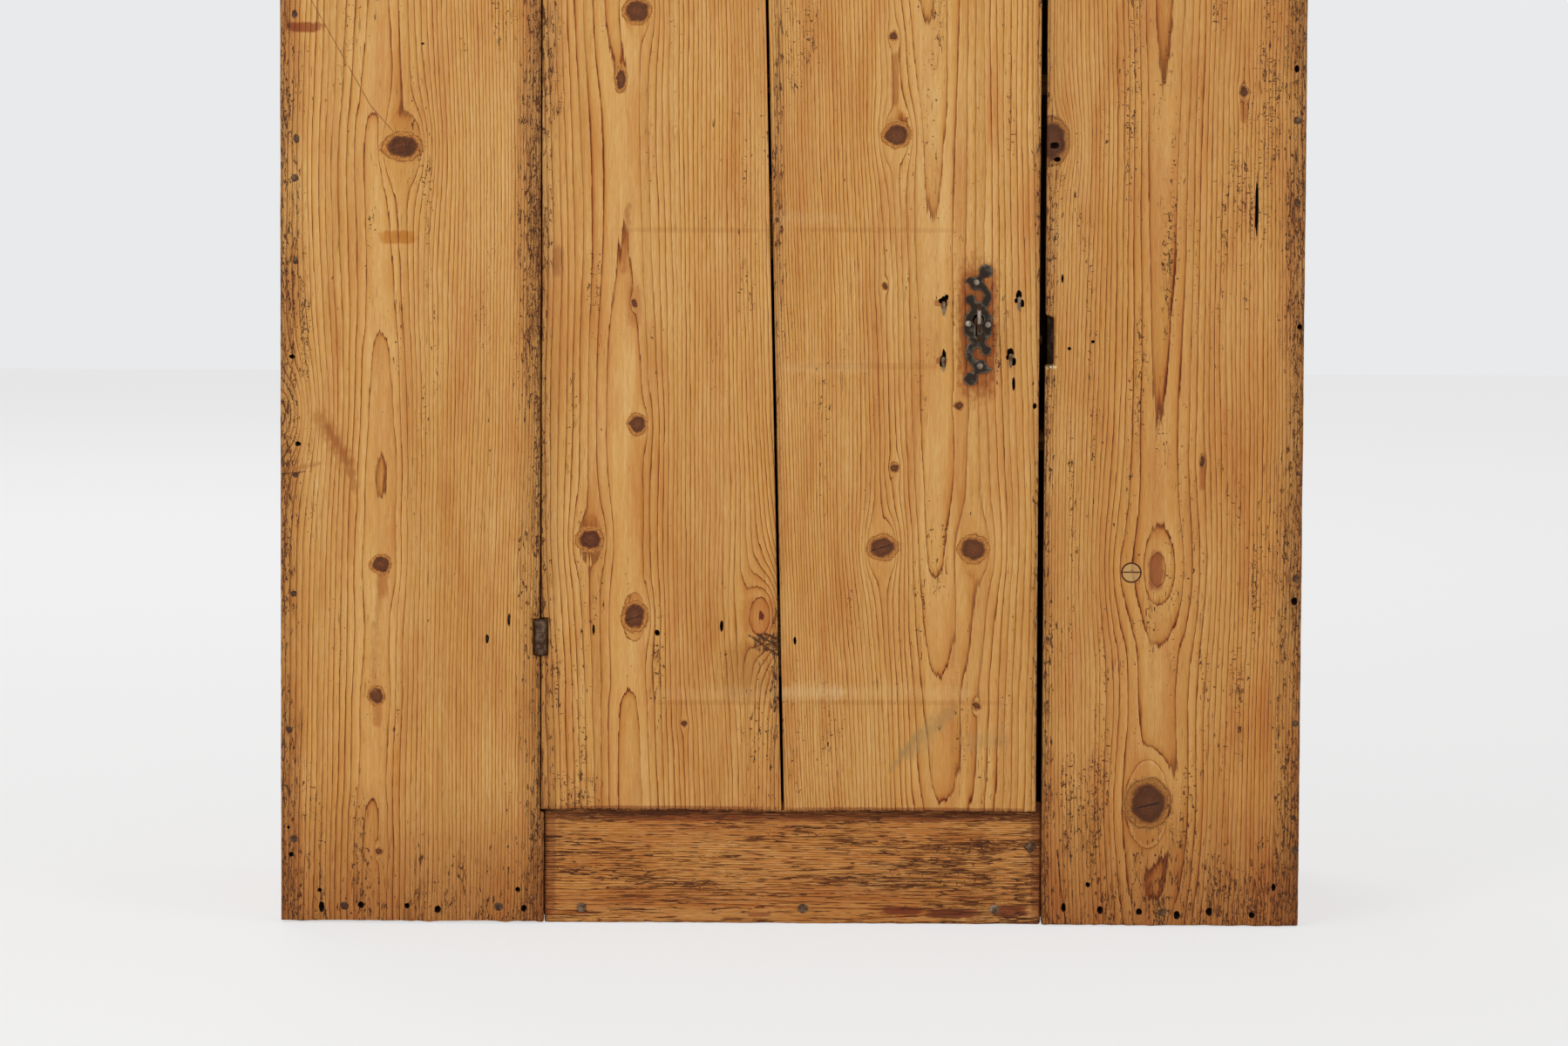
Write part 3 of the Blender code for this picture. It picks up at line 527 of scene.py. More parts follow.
# %% [markdown]
# ## The colour of clean grain
#
# The place within a ring picks the colour: pale spring wood, a slow darkening, a thin brown line.
# The fibres lift the ring count a little, so the lines have torn, toothed ends, as sawn ones do.
# Near the heart line the surface cuts a ring so flat that its line would be very wide, so the
# lines are drawn thinner there. Where the fibres have drunk more oil the wood turns deeper and
# more orange at once. A gamma a little above 1 gives that, and plain darkening would turn it grey.

# %% The colour of clean grain
FIBRE = (0.9 * MM, 14 * MM)
STRAND = (2.6 * MM, 110 * MM)
STREAK = (16 * MM, 600 * MM)
PATCH = (70 * MM, 200 * MM)
RUDDY_PATCH = (26 * MM, 150 * MM)
OIL = 1.68
OIL_CONTRAST = 0.70
DEEPER_BELOW = 0.9


def grain_colour(tree, board, along, rings, near_heart, thinning, weathered):
    """The colour of clean grain, the place in a ring (1 on its dark line) and the fibres."""
    fibre = grain_noise(tree, board, *FIBRE, 3.0)
    strand = grain_noise(tree, board, *STRAND, 2.0)
    rings = add(tree, "Math.MULTIPLY_ADD", fibre, FIBRE_TEETH, rings)
    rings = add(tree, "Math.MULTIPLY_ADD", strand, STRAND_TEETH, rings)
    ring_place = add(tree, "Math.FRACT", rings)
    thinner = add(tree, "Math.MULTIPLY_ADD", near_heart, thinning, 1.0)
    from_line = add(tree, "Math.SUBTRACT", 1.0, ring_place)
    from_line = add(tree, "Math.MULTIPLY", from_line, thinner)
    ring_place = add(tree, "Math.SUBTRACT", 1.0, from_line, use_clamp=True)
    base = add(tree, "ValToRGB", ring_place, stops=SPRING_TO_LATE)
    year = add(tree, "Math.FLOOR", rings)
    year = add(tree, "TexWhiteNoise", named={"W": year}, noise_dimensions="1D")
    streak = grain_noise(tree, board, *STREAK, 2.0)
    softened = add(tree, "Math.MULTIPLY_ADD", streak, 2.2, -1.2)
    softened = add(tree, "Math.MULTIPLY_ADD", year, 0.42, softened, use_clamp=True)
    base = add(tree, "Mix", softened, base, PLAIN_COLOUR, data_type="RGBA")
    patch = grain_noise(tree, board, *PATCH, 3.0)
    contrast = OIL_CONTRAST + weathered
    deepening = add(tree, "Math.MULTIPLY_ADD", fibre, -contrast, OIL + contrast / 2)
    deepening = add(tree, "Math.MULTIPLY_ADD", strand, -0.46, deepening)
    deepening = add(tree, "Math.MULTIPLY_ADD", streak, -0.36, deepening)
    deepening = add(tree, "Math.MULTIPLY_ADD", patch, -0.42, deepening)
    # The colour also deepens a little towards the bottom of the board.
    lower = add(tree, "Math.MULTIPLY_ADD", along, -1 / DEEPER_BELOW, 1.0, use_clamp=True)
    deepening = add(tree, "Math.MULTIPLY_ADD", lower, 0.07, deepening)
    base = add(tree, "Gamma", base, deepening)
    ruddy = grain_noise(tree, board, *RUDDY_PATCH, 4.0)
    ruddy = add(tree, "Math.MULTIPLY_ADD", ruddy, 4.0, -1.8, use_clamp=True)
    base = add(tree, "Mix", ruddy, base, RUDDY, data_type="RGBA", blend_type="MULTIPLY")
    return base, ring_place, fibre


print("a streak of wax is", STREAK[0] / MM, "mm wide")


# %% [markdown]
# ## Layers over the grain
#
# Rust and resin soak into the wood like thin washes, and the darkening towards the foot is laid on
# the same way, so these multiply its colour and the lines show through. Dirt, knots, strokes and the
# plug hide the grain, so they are mixed in. One long list of steps would do all this. It is cut into
# a function for each layer, in the order in which time laid them on, and the cracks come last,
# because they cut through everything.

# %% Washes
DRY_PATCH = (22 * MM, 190 * MM)
FOOT_REACH = 0.16
DIRT_COVER = 0.40


def wear_in(tree, places, rough_rim, edges, dry_spots, age, foot):
    """How near the foot, how worn and how dry each place is, 0 to 1 or a little more."""
    across, along, _, plain, board = places
    wear = edge_wear(tree, across, board, edges)
    low = add(tree, "Math.MULTIPLY_ADD", along, -1 / FOOT_REACH, 1.0, use_clamp=True)
    wear = add(tree, "Math.MULTIPLY_ADD", low, foot, wear)
    dry = grain_noise(tree, board, *DRY_PATCH, 2.0)
    dry = add(tree, "Math.MULTIPLY_ADD", dry, 2.0, age - 0.95, use_clamp=True)
    for spot in dry_spots:
        dry = add(tree, "Math.ADD", spot_in(tree, plain, rough_rim, *spot), dry)
    return low, wear, dry


def washed(tree, base, plain, rough_rim, low, wear, foot, stains, tone):
    """The colour under its washes: dirt at the edges, darker towards the foot, stains and the
    board's tone.
    """
    dirt = add(tree, "Math.MULTIPLY", wear, DIRT_COVER, use_clamp=True)
    base = add(tree, "Mix", dirt, base, DIRT_COLOUR, data_type="RGBA")
    # The board is made darker towards its foot.
    foot_darkening = add(tree, "Math.MULTIPLY", low, foot, use_clamp=True)
    base = add(tree, "Mix", foot_darkening, base, DARKER_AT_FOOT, data_type="RGBA", blend_type="MULTIPLY")
    for *spot, hex_value in stains:
        inside = spot_in(tree, plain, rough_rim, *spot)
        base = add(tree, "Mix", inside, base, hex_value, data_type="RGBA", blend_type="MULTIPLY")
    return add(tree, "Mix", 1.0, base, tone, data_type="RGBA", blend_type="MULTIPLY")


print("the darkening at the foot reaches", FOOT_REACH / MM, "mm up")


# %% Knots, strokes and plugs
KNOT_MOTTLE = 1.6 * MM
KNOT_FADES_FROM = 1.62
KNOT_FULL_WITHIN = 1.45
KNOT_COVER = 0.95


def with_knots(tree, base, board, knot, knot_tone):
    """The colour with the knots' own rings and mottle mixed in."""
    knot_place = add(tree, "Math.MULTIPLY", knot, 1 / KNOT_REACH, use_clamp=True)
    knot_colour = add(tree, "ValToRGB", knot_place, stops=KNOT_RINGS)
    mottle = grain_noise(tree, board, KNOT_MOTTLE, KNOT_MOTTLE, 3.0)
    mottle = add(tree, "Math.MULTIPLY_ADD", mottle, 2.6 * knot_tone, -0.25)
    knot_colour = add(tree, "HueSaturation", named={"Color": knot_colour, "Value": mottle})
    limits = {"Value": knot, "To Max": KNOT_COVER}
    limits["From Min"] = KNOT_FADES_FROM
    limits["From Max"] = KNOT_FULL_WITHIN
    in_knot = add(tree, "MapRange", named=limits, interpolation_type="SMOOTHSTEP")
    return add(tree, "Mix", in_knot, base, knot_colour, data_type="RGBA")


def with_strokes(tree, base, plain, rough_rim, strokes, plugs):
    """The colour with strokes and plugs drawn over it."""
    for *stroke, hex_value in strokes:
        line = stroke_in(tree, plain, rough_rim, *stroke)
        base = add(tree, "Mix", line, base, hex_value, data_type="RGBA")
    for plug in plugs:
        outline, face = plug_in(tree, plain, *plug)
        base = add(tree, "Mix", face, base, PLUG_COLOUR, data_type="RGBA")
        base = add(tree, "Mix", outline, base, CHECK_COLOUR, data_type="RGBA")
    return base


print("a knot's mottle is", KNOT_MOTTLE / MM, "mm wide")


# %% Cracks and pits
CHECK_WIDTH = 3.2 * MM
CROSS_CHECK = (8 * MM, 3.5 * MM)
CRACK_COVER = 0.94
FLECK_COVER = 0.6


def with_cracks(tree, base, board, late, wear, dry, weathered, check_length):
    """The colour with furrows, checks, flecks and pits; the furrows; and the rest of the marks."""
    amount = add(tree, "Math.ADD", dry, wear, use_clamp=True)
    worn_fibres = add(tree, "Math.ADD", amount, weathered)
    worn_fibres = add(tree, "Math.MULTIPLY_ADD", late, 0.4, worn_fibres)
    furrows = furrows_in(tree, board, worn_fibres, weathered)
    dark = add(tree, "Math.MULTIPLY", furrows, 0.55 + 0.5 * weathered)
    base = add(tree, "Mix", dark, base, FURROW_COLOUR, data_type="RGBA")
    cracked = add(tree, "Math.ADD", amount, 0.4 * weathered)
    checks = checks_in(tree, board, cracked, CHECK_WIDTH, check_length)
    cross_checks = checks_in(tree, board, dry, *CROSS_CHECK)
    crowding = add(tree, "Math.MULTIPLY_ADD", dry, 0.4, 0.17)
    crowding = add(tree, "Math.MULTIPLY_ADD", wear, 0.85, crowding, use_clamp=True)
    pits, flecks = pits_in(tree, board, crowding)
    pale = add(tree, "Math.MULTIPLY", flecks, FLECK_COVER)
    base = add(tree, "Mix", pale, base, FLECK_COLOUR, data_type="RGBA")
    marks = add(tree, "Math.MAXIMUM", checks, cross_checks)
    marks = add(tree, "Math.MAXIMUM", marks, pits)
    cover = add(tree, "Math.MULTIPLY", marks, CRACK_COVER)
    base = add(tree, "Mix", cover, base, CHECK_COLOUR, data_type="RGBA")
    return base, furrows, marks


print("checks open in hills", CHECK_WIDTH / MM, "mm wide")


# %% [markdown]
# ## One board's finish
#
# Every board gets its own material, because no two boards come from the same place in a tree. The
# base is a Principled shader without metal and at the default IOR of 1.5, near that of wax and
# wood. Waxed pine has a dull shine, so its roughness is about 0.6, and a little less on the hard
# late wood. Scrubbing wears the soft spring wood away, so the bump lifts each late line by a fifth
# of a millimetre and sinks the checks.

# %% Old pine
STAIN_RIM = (5 * MM, 9 * MM)
GRAIN_RELIEF = 0.2 * MM
WAXED_ROUGHNESS = 0.62


def old_pine(
    name, heart, growth, spread, edges, age, seed, axes="ZXY", knots=(), stains=(), strokes=(),
    plugs=(), dry_spots=(), foot=0.0, weathered=0.0, check_length=16 * MM, tone="#FFFFFF",
    knot_tone=1.0, thinning=1.3,
):
    """A flat-sawn pine board. Axes names the directions along, across and into the board."""
    material, tree, shader = new_finish(name)
    places = board_places(tree, *axes, seed)
    _, along, _, plain, board = places
    rings, near_heart, knot = rings_in(tree, places, heart, growth, spread, knots)
    grain = (along, rings, near_heart, thinning, weathered)
    base, ring_place, fibre = grain_colour(tree, board, *grain)
    rough_rim = grain_noise(tree, board, *STAIN_RIM, 2.0)
    low, wear, dry = wear_in(tree, places, rough_rim, edges, dry_spots, age, foot)
    base = washed(tree, base, plain, rough_rim, low, wear, foot, stains, tone)
    base = with_knots(tree, base, board, knot, knot_tone)
    base = with_strokes(tree, base, plain, rough_rim, strokes, plugs)
    late = add(tree, "Math.POWER", ring_place, 4.0)
    cracks = (late, wear, dry, weathered, check_length)
    base, furrows, marks = with_cracks(tree, base, board, *cracks)
    tree.links.new(base, shader.inputs["Base Color"])

    relief = add(tree, "Math.MULTIPLY_ADD", fibre, 0.5, late)
    relief = add(tree, "Math.MULTIPLY_ADD", marks, -2.2, relief)
    relief = add(tree, "Math.MULTIPLY_ADD", furrows, -1.2, relief)
    bump = add(tree, "Bump", named={"Height": relief, "Distance": GRAIN_RELIEF, "Strength": 0.8})
    tree.links.new(bump, shader.inputs["Normal"])
    rough = add(tree, "Math.MULTIPLY_ADD", late, -0.08, WAXED_ROUGHNESS)
    tree.links.new(rough, shader.inputs["Roughness"])
    shader.inputs["Specular IOR Level"].default_value = 0.25
    return material


print("the grain stands", GRAIN_RELIEF / MM, "mm high")

# %% [markdown]
# ## The five boards of the front
#
# Each front board is given by what can be read on it: where its heart line runs, how far up each
# arch closes, its knots with their size, its stains, and how dirty its edges are. All are pixels of
# the photograph, turned into metres by the camera set up above. The last number of a knot says how
# much it lifts the rings round it, so 0 leaves the lines only pushed aside.


# %% Reading a board off the photograph
def knots_at(*pixels, knot=True):
    """Knots or swirls from pixel x and y, half width and half height in pixels, and lift."""
    found = []
    for x, y, half_width, half_height, lift in pixels:
        size = (half_width * METRES_PER_PIXEL, half_height * METRES_PER_PIXEL)
        found.append((*across_and_up(x, y), *size, lift, knot))
    return found


def spots_at(*pixels):
    """Spots from pixel x and y, half width and half height in pixels, strength and maybe colour."""
    found = []
    for x, y, half_width, half_height, *look in pixels:
        size = (half_width * METRES_PER_PIXEL, half_height * METRES_PER_PIXEL)
        found.append((*across_and_up(x, y), *size, *look))
    return found


def strokes_at(*pixels):
    """Strokes from two ends in pixels, half width in pixels, strength and colour."""
    found = []
    for start, end, half_width, *look in pixels:
        ends = (across_and_up(*start), across_and_up(*end))
        found.append((*ends, half_width * METRES_PER_PIXEL, *look))
    return found


def heart_line(top, foot):
    """A line through two pixels as x at the floor, lean, and the plane that it lies in."""
    top_x, top_z = across_and_up(*top)
    foot_x, foot_z = across_and_up(*foot)
    lean = (top_x - foot_x) / (top_z - foot_z)
    return foot_x - lean * foot_z, lean, front_y


def edge_at(pixel_x, width, strength):
    """A dirty edge from a pixel column, its width in pixels and its strength."""
    return across_and_up(pixel_x, FRAME_HEIGHT / 2)[0], width * METRES_PER_PIXEL, strength


print("one pixel is", METRES_PER_PIXEL / MM, "mm")


# %% [markdown]
# ## Where the arches close
#
# The curve of the ring count is drawn from the arches themselves. Their tips are listed from the
# floor up. At each tip that points up the curve passes the next whole number, and at each one that
# points down it passes back. It is steep just inside the tip, so that the dark end of an arch is
# short, and nearly flat between two tips. A tip that points down with one that points up above it
# closes a lens. A long, even slope inside a tip draws an arch out like a dagger, and a dip makes a
# shallow hollow in the curve.

# %% The ring count up a board
UP = 1
DOWN = -1
INSIDE_TIP = 18
INSIDE_DROP = 0.24
OUTSIDE_TIP = 9
OUTSIDE_RISE = 0.08
DIP_DEPTH = 0.13


def growth_up(start, *tips, dips=(), top=None):
    """The ring count up a board, from its tips: pixel height, direction, maybe length and drop."""
    level = start
    curve = [(FRAME_HEIGHT, start)]
    for y, direction, *inside in tips:
        length = inside[0] if inside else INSIDE_TIP
        drop = inside[1] if len(inside) > 1 else INSIDE_DROP
        whole = math.floor(level) + 1 if direction == UP else math.ceil(level) - 1
        under = (y + direction * length, whole - drop)
        beyond = (y - direction * OUTSIDE_TIP, whole + OUTSIDE_RISE)
        curve += [under, beyond] if direction == UP else [beyond, under]
        level = curve[-1][1]
    for y, half_height, rings in dips:
        rim = rings + DIP_DEPTH
        curve += [(y - half_height, rim), (y, rings), (y + half_height, rim)]
    points = sorted((across_and_up(FRAME_WIDTH / 2, y)[1], rings) for y, rings in curve)
    last = top if top is not None else points[-1][1]
    return points + [(TALLEST, last)]


print("an arch's dark end is", round(INSIDE_TIP * METRES_PER_PIXEL / MM), "mm long")

# %% Colours of stains and strokes
# Stains multiply the wood's colour, so a colour near white hardly shows. Strokes hide it.
RUST_STAIN = "#B87E62"
RESIN_STAIN = "#E4C480"
BURL_STAIN = "#D8B79D"
DROP_STAIN = "#E4CDBA"
BARK_STAIN = "#B28A90"
# Dark scorch marks, and along the top of the rail the painted shadow of the door's lip.
SCORCH_AND_SHADOW = "#B7958E"
BRUISE = "#D2BDA6"
LEDGE_MARK = "#E6DAD0"
RESIN_RED = "#E4BFA0"
PLATE_RUST = "#BC8454"
# Painted shadow: a grey spot round the keyhole plate.
PLATE_PAINTED_SHADOW = "#B49C88"
SWIRL_HEART = "#C49E9D"
BURL = "#A5682F"
BURL_HEART = "#96511F"
PALE_BAND = "#E2C590"
TORN = "#2A1509"
SMEAR = "#9C7C4C"
CHIPPED = "#E4CFA2"
SCRATCH = "#86502A"
KNOT_SLIT = "#22120B"
print("a rust stain keeps this much red light:", round(colour(RUST_STAIN)[0], 2))

# %% Left stile
left_stile_pine = old_pine(
    "old pine left stile",
    heart=heart_line((436, 0), (428, 1055)),
    growth=growth_up(
        2.55, (918, UP), (577, DOWN, 12, 0.10), (521, UP, 12, 0.10), (381, UP), (129, UP), top=6.4
    ),
    knots=knots_at(
        (462, 168, 17, 12, 0.0), (437, 648, 9, 9, 0.3), (432, 798, 7, 8, 0.3),
        (435, 977, 4, 4, 0.2), (452, -270, 13, 12, 0.3),
    ) + knots_at((322, 475, 26, 30, 5.0), knot=False),
    spread=(1.25, 1.0),
    edges=(edge_at(320, 28, 0.85), edge_at(621, 28, 1.0)),
    stains=spots_at(
        (349, 31, 22, 6, 0.9, RUST_STAIN), (456, 272, 21, 8, 0.9, RESIN_STAIN),
        (606, 200, 18, 230, 0.3, BURL_STAIN), (334, 880, 14, 130, 0.3, BURL_STAIN),
        (439, 668, 7, 20, 0.8, DROP_STAIN), (433, 820, 6, 15, 0.8, DROP_STAIN),
    ),
    strokes=strokes_at(
        ((357, 0), (425, 121), 0.7, 0.9, SCRATCH), ((425, 121), (452, 152), 0.7, 0.9, SCRATCH),
        ((438, 660), (431, 720), 4.0, 0.4, BURL), ((431, 715), (428, 792), 4.5, 0.4, BURL),
        ((368, 478), (402, 540), 10.0, 0.7, BURL), ((376, 490), (400, 530), 6.0, 0.6, BURL_HEART),
        ((403, 540), (406, 560), 6.0, 0.7, BURL), ((322, 541), (366, 532), 3.0, 0.6, BURL),
        ((322, 544), (350, 541), 1.2, 0.8, KNOT_SLIT),
    ),
    dry_spots=spots_at(
        (610, 200, 16, 220, 0.35), (462, 168, 13, 9, 1.0), (353, 88, 10, 40, 0.35),
        (425, 300, 7, 70, 0.3), (352, 380, 8, 60, 0.35), (345, 880, 24, 70, 0.25),
        (595, 640, 12, 60, 0.25), (478, 500, 12, 80, 0.22),
    ),
    age=0.0,
    foot=0.62,
    seed=1,
)
print("finished:", left_stile_pine.name, "in", len(left_stile_pine.node_tree.nodes), "nodes")

# %% Left plank of the door
left_plank_pine = old_pine(
    "old pine left plank",
    heart=heart_line((716, 0), (732, 925)),
    growth=growth_up(
        3.6, (795, UP), (222, UP, 110), (100, DOWN, 70), dips=((550, 150, 4.2),), top=4.0
    ),
    knots=knots_at(
        (731, 13, 12, 11, 0.3), (728, 348, 3, 4, 0.5), (731, 487, 8, 9, 0.0),
        (677, 619, 12, 10, 0.2), (728, 707, 11, 13, -0.6), (785, 830, 3, 3, 0.2),
        (712, 91, 5, 11, -0.2), (690, -190, 10, 9, 0.2),
    ) + knots_at((874, 706, 30, 20, -6.5), knot=False),
    spread=(1.45, 1.05),
    edges=(edge_at(620, 24, 0.75), edge_at(890, 7, 0.5)),
    stains=spots_at(
        (728, 350, 9, 26, 0.7, DROP_STAIN), (640, 300, 7, 18, 0.5, SCORCH_AND_SHADOW),
        (858, 770, 30, 36, 0.5, BRUISE), (872, 708, 22, 24, 0.6, RESIN_RED),
        (800, 264, 90, 3, 0.45, LEDGE_MARK), (820, 806, 75, 3, 0.45, LEDGE_MARK),
        (757, 928, 137, 4, 0.8, SCORCH_AND_SHADOW),
    ),
    strokes=strokes_at(
        ((718, 712), (736, 706), 0.8, 1.0, KNOT_SLIT),
        ((721, 236), (716, 312), 4.0, 0.5, BURL_HEART),
        ((756, 796), (897, 796), 9.0, 0.10, PALE_BAND),
        ((860, 729), (893, 752), 1.6, 0.9, TORN), ((870, 728), (893, 742), 1.6, 0.9, TORN),
        ((878, 727), (893, 734), 1.4, 0.9, TORN),
    ),
    dry_spots=spots_at(
        (746, 165, 8, 80, 0.35), (636, 60, 18, 80, 0.3), (680, 320, 12, 40, 0.25),
        (668, 800, 14, 90, 0.25), (640, 905, 60, 22, 0.25), (832, 150, 20, 40, 0.2),
        (880, 737, 15, 11, 1.6), (757, 930, 137, 3, 1.0),
    ),
    age=0.0,
    foot=0.25,
    seed=2,
)
print("finished:", left_plank_pine.name, "in", len(left_plank_pine.node_tree.nodes), "nodes")

# %% Right plank of the door
right_plank_pine = old_pine(
    "old pine right plank",
    heart=heart_line((1062, 0), (1082, 925)),
    growth=growth_up(
        10.4, (920, DOWN), (775, DOWN), (660, DOWN), (266, DOWN, 90, 0.35), (34, DOWN, 60, 0.3),
        top=5.2,
    ),
    knots=knots_at(
        (1029, 155, 12, 11, 0.2), (1025, 41, 4, 4, 0.2), (1015, 328, 3, 3, 0.2),
        (1026, 537, 4, 5, 0.2), (1012, 628, 13, 11, 0.2), (1117, 630, 13, 12, 0.2),
        (1100, 465, 4, 4, 0.2), (1120, 810, 4, 4, 0.2), (1120, -150, 12, 11, 0.3),
    ),
    spread=(0.95, 1.35),
    edges=(edge_at(890, 10, 0.7), edge_at(1192, 11, 0.8)),
    stains=spots_at(
        # The grey spot round the keyhole plate is painted shadow; the rust spot round it is a stain.
        (1122, 378, 24, 82, 0.85, PLATE_RUST), (1121, 380, 15, 58, 0.4, PLATE_PAINTED_SHADOW),
        (1080, 348, 9, 4, 0.7, RUST_STAIN), (1080, 414, 7, 4, 0.7, RUST_STAIN),
        (1027, 90, 5, 34, 0.8, BURL_STAIN), (1010, 264, 100, 3, 0.4, LEDGE_MARK),
        (1000, 420, 90, 4, 0.4, LEDGE_MARK), (1030, 806, 130, 3, 0.45, LEDGE_MARK),
        (1040, 930, 146, 4, 0.8, SCORCH_AND_SHADOW),
    ),
    strokes=strokes_at(
        ((1000, 632), (1022, 625), 0.8, 1.0, KNOT_SLIT),
        ((1022, 884), (1056, 838), 4.0, 0.5, SMEAR), ((1038, 866), (1090, 816), 11.0, 0.5, SMEAR),
        ((1112, 852), (1150, 846), 12.0, 0.3, SMEAR),
        ((893, 795), (962, 794), 10.0, 0.3, PALE_BAND),
        ((958, 794), (1110, 795), 9.0, 0.12, PALE_BAND),
        ((890, 250), (960, 250), 9.0, 0.12, PALE_BAND),
        ((900, 422), (990, 422), 8.0, 0.12, PALE_BAND),
    ),
    dry_spots=spots_at(
        (1066, 150, 11, 100, 0.35), (915, 60, 20, 60, 0.25), (1078, 640, 12, 50, 0.35),
        (930, 860, 30, 60, 0.25), (1130, 880, 40, 40, 0.25), (1045, 932, 147, 3, 1.0),
    ),
    age=0.07,
    foot=0.25,
    seed=3,
)
print("finished:", right_plank_pine.name, "in", len(right_plank_pine.node_tree.nodes), "nodes")

# %% Right stile
right_stile_pine = old_pine(
    "old pine right stile",
    heart=heart_line((1334, 0), (1322, 1055)),
    growth=growth_up(
        10.3, (1035, DOWN), (735, DOWN), (508, DOWN, 330, 0.8), (118, DOWN, 250, 0.6), top=5.2
    ),
    thinning=0.3,
    knots=knots_at(
        (1207, 162, 14, 20, -1.2), (1427, 106, 4, 5, 0.3), (1317, 922, 19, 21, 2.2),
        (1380, 530, 3, 6, 0.2), (1300, -330, 12, 12, 0.3),
    ) + knots_at((1328, 655, 18, 17, -2.2), (1300, 657, 12, 17, 0.0), knot=False),
    spread=(0.95, 1.05),
    edges=(edge_at(1200, 12, 0.6), edge_at(1499, 40, 1.1)),
    tone="#F8F3EF",
    knot_tone=0.8,
    stains=spots_at(
        (1326, 655, 9, 24, 0.95, SWIRL_HEART), (1427, 125, 5, 16, 0.8, BURL_STAIN),
        (1380, 545, 4, 18, 0.8, BURL_STAIN),
    ),
    strokes=strokes_at(
        ((1304, 927), (1330, 921), 1.0, 1.0, KNOT_SLIT),
        ((1198, 421.5), (1211, 421), 1.6, 0.9, CHIPPED),
        ((1213, 975), (1217, 1020), 0.8, 1.0, KNOT_SLIT),
        ((1217, 1020), (1223, 1060), 0.8, 1.0, KNOT_SLIT),
    ),
    plugs=[(*across_and_up(1298, 657), 11 * METRES_PER_PIXEL)],
    dry_spots=spots_at(
        (1448, 160, 24, 110, 0.35), (1222, 250, 14, 60, 0.1), (1400, 820, 30, 90, 0.25),
        (1240, 930, 26, 70, 0.3),
    ),
    age=0.18,
    foot=0.6,
    seed=4,
)
print("finished:", right_stile_pine.name, "in", len(right_stile_pine.node_tree.nodes), "nodes")

# %% [markdown]
# ## The rail under the door
#
# Mops and shoes have scrubbed the bottom rail until its fibres stand up like a brush. It could have
# a finish of its own, but it is the same pine lying down: along and across change places, in the
# axes as in every spot, and `weathered` opens the furrows.

# %% Bottom rail
# The long band along the top of the rail, just under the door, is painted shadow of the door's lip.
# The two tall spots at the rail's ends darken it beside the stiles.
lying_spots = spots_at(
    (910, 938, 290, 6, 0.8, SCORCH_AND_SHADOW), (1036, 1046, 26, 5, 1.0, BARK_STAIN),
    (1092, 1049, 30, 6, 1.0, BARK_STAIN), (1160, 1047, 20, 6, 1.0, BARK_STAIN),
    (905, 1040, 300, 22, 0.35, BRUISE), (870, 1050, 14, 3, 0.7, BARK_STAIN),
    (1190, 990, 8, 70, 0.7, SCORCH_AND_SHADOW), (630, 990, 8, 70, 0.6, SCORCH_AND_SHADOW),
)
bottom_rail_pine = old_pine(
    "weathered pine bottom rail",
    axes="XZY",
    heart=(0.012, 0.0, front_y),
    growth=((0.0, 4.2), (0.5, 5.2), (1.6, 6.0)),
    spread=(0.7, 0.6),
    edges=((0.130, 0.018, 0.9),),
    age=0.3,
    weathered=0.75,
    check_length=40 * MM,
    tone="#F7E9E3",
    stains=[(z, x, high, wide, *look) for x, z, wide, high, *look in lying_spots],
    seed=5,
)
print("finished:", bottom_rail_pine.name, "in", len(bottom_rail_pine.node_tree.nodes), "nodes")

# %% [markdown]
# ## The other boards
#
# Nobody sees these boards in the photograph, so their grain is made up: a heart line near the
# middle of each board, somewhere different on every one. They could all share one finish, but two
# boards side by side would then show the same lines. So a loop gives each of them its own. Boards
# that were never waxed, inside and at the back, are paler and greyer.

# %% Finishes of the other boards
STANDING = "ZYX"
STANDING_BACK = "ZXY"
LYING = "XYZ"
BATTEN = "XZY"
CLEAT = "YZX"
INNER_TONE = "#EADFD0"
WAXED_SIDES = "#FAF0E4"
UNSEEN_AGE = 0.12
EDGE_DIRT = (0.012, 0.5)


def dress(node, material):
    """Give one of the model's pieces a material in place of its own."""
    nodes[node].data.materials.clear()
    nodes[node].data.materials.append(material)


def plain_board(node, axes, tone):
    """Give a board that nobody sees in the photograph a finish of its own."""
    chance = random.Random(node)
    low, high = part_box(node)
    across = "XYZ".index(axes[1])
    into = "XYZ".index(axes[2])
    width = high[across] - low[across]
    middle = low[across] + width * chance.uniform(0.3, 0.7)
    rings = chance.uniform(2.5, 5.5)
    rise = chance.uniform(-2.0, 2.0)
    material = old_pine(
        "old pine " + node.replace("_", " "),
        axes=axes,
        heart=(middle, chance.uniform(-0.01, 0.01), low[into]),
        growth=((0.0, rings), (TALLEST / 2, rings + rise * 0.3), (TALLEST, rings + rise)),
        edges=((low[across], *EDGE_DIRT), (high[across], *EDGE_DIRT)),
        spread=(chance.uniform(0.8, 1.2), chance.uniform(0.8, 1.2)),
        age=UNSEEN_AGE,
        tone=tone,
        seed=chance.randint(6, 60),
    )
    dress(node, material)


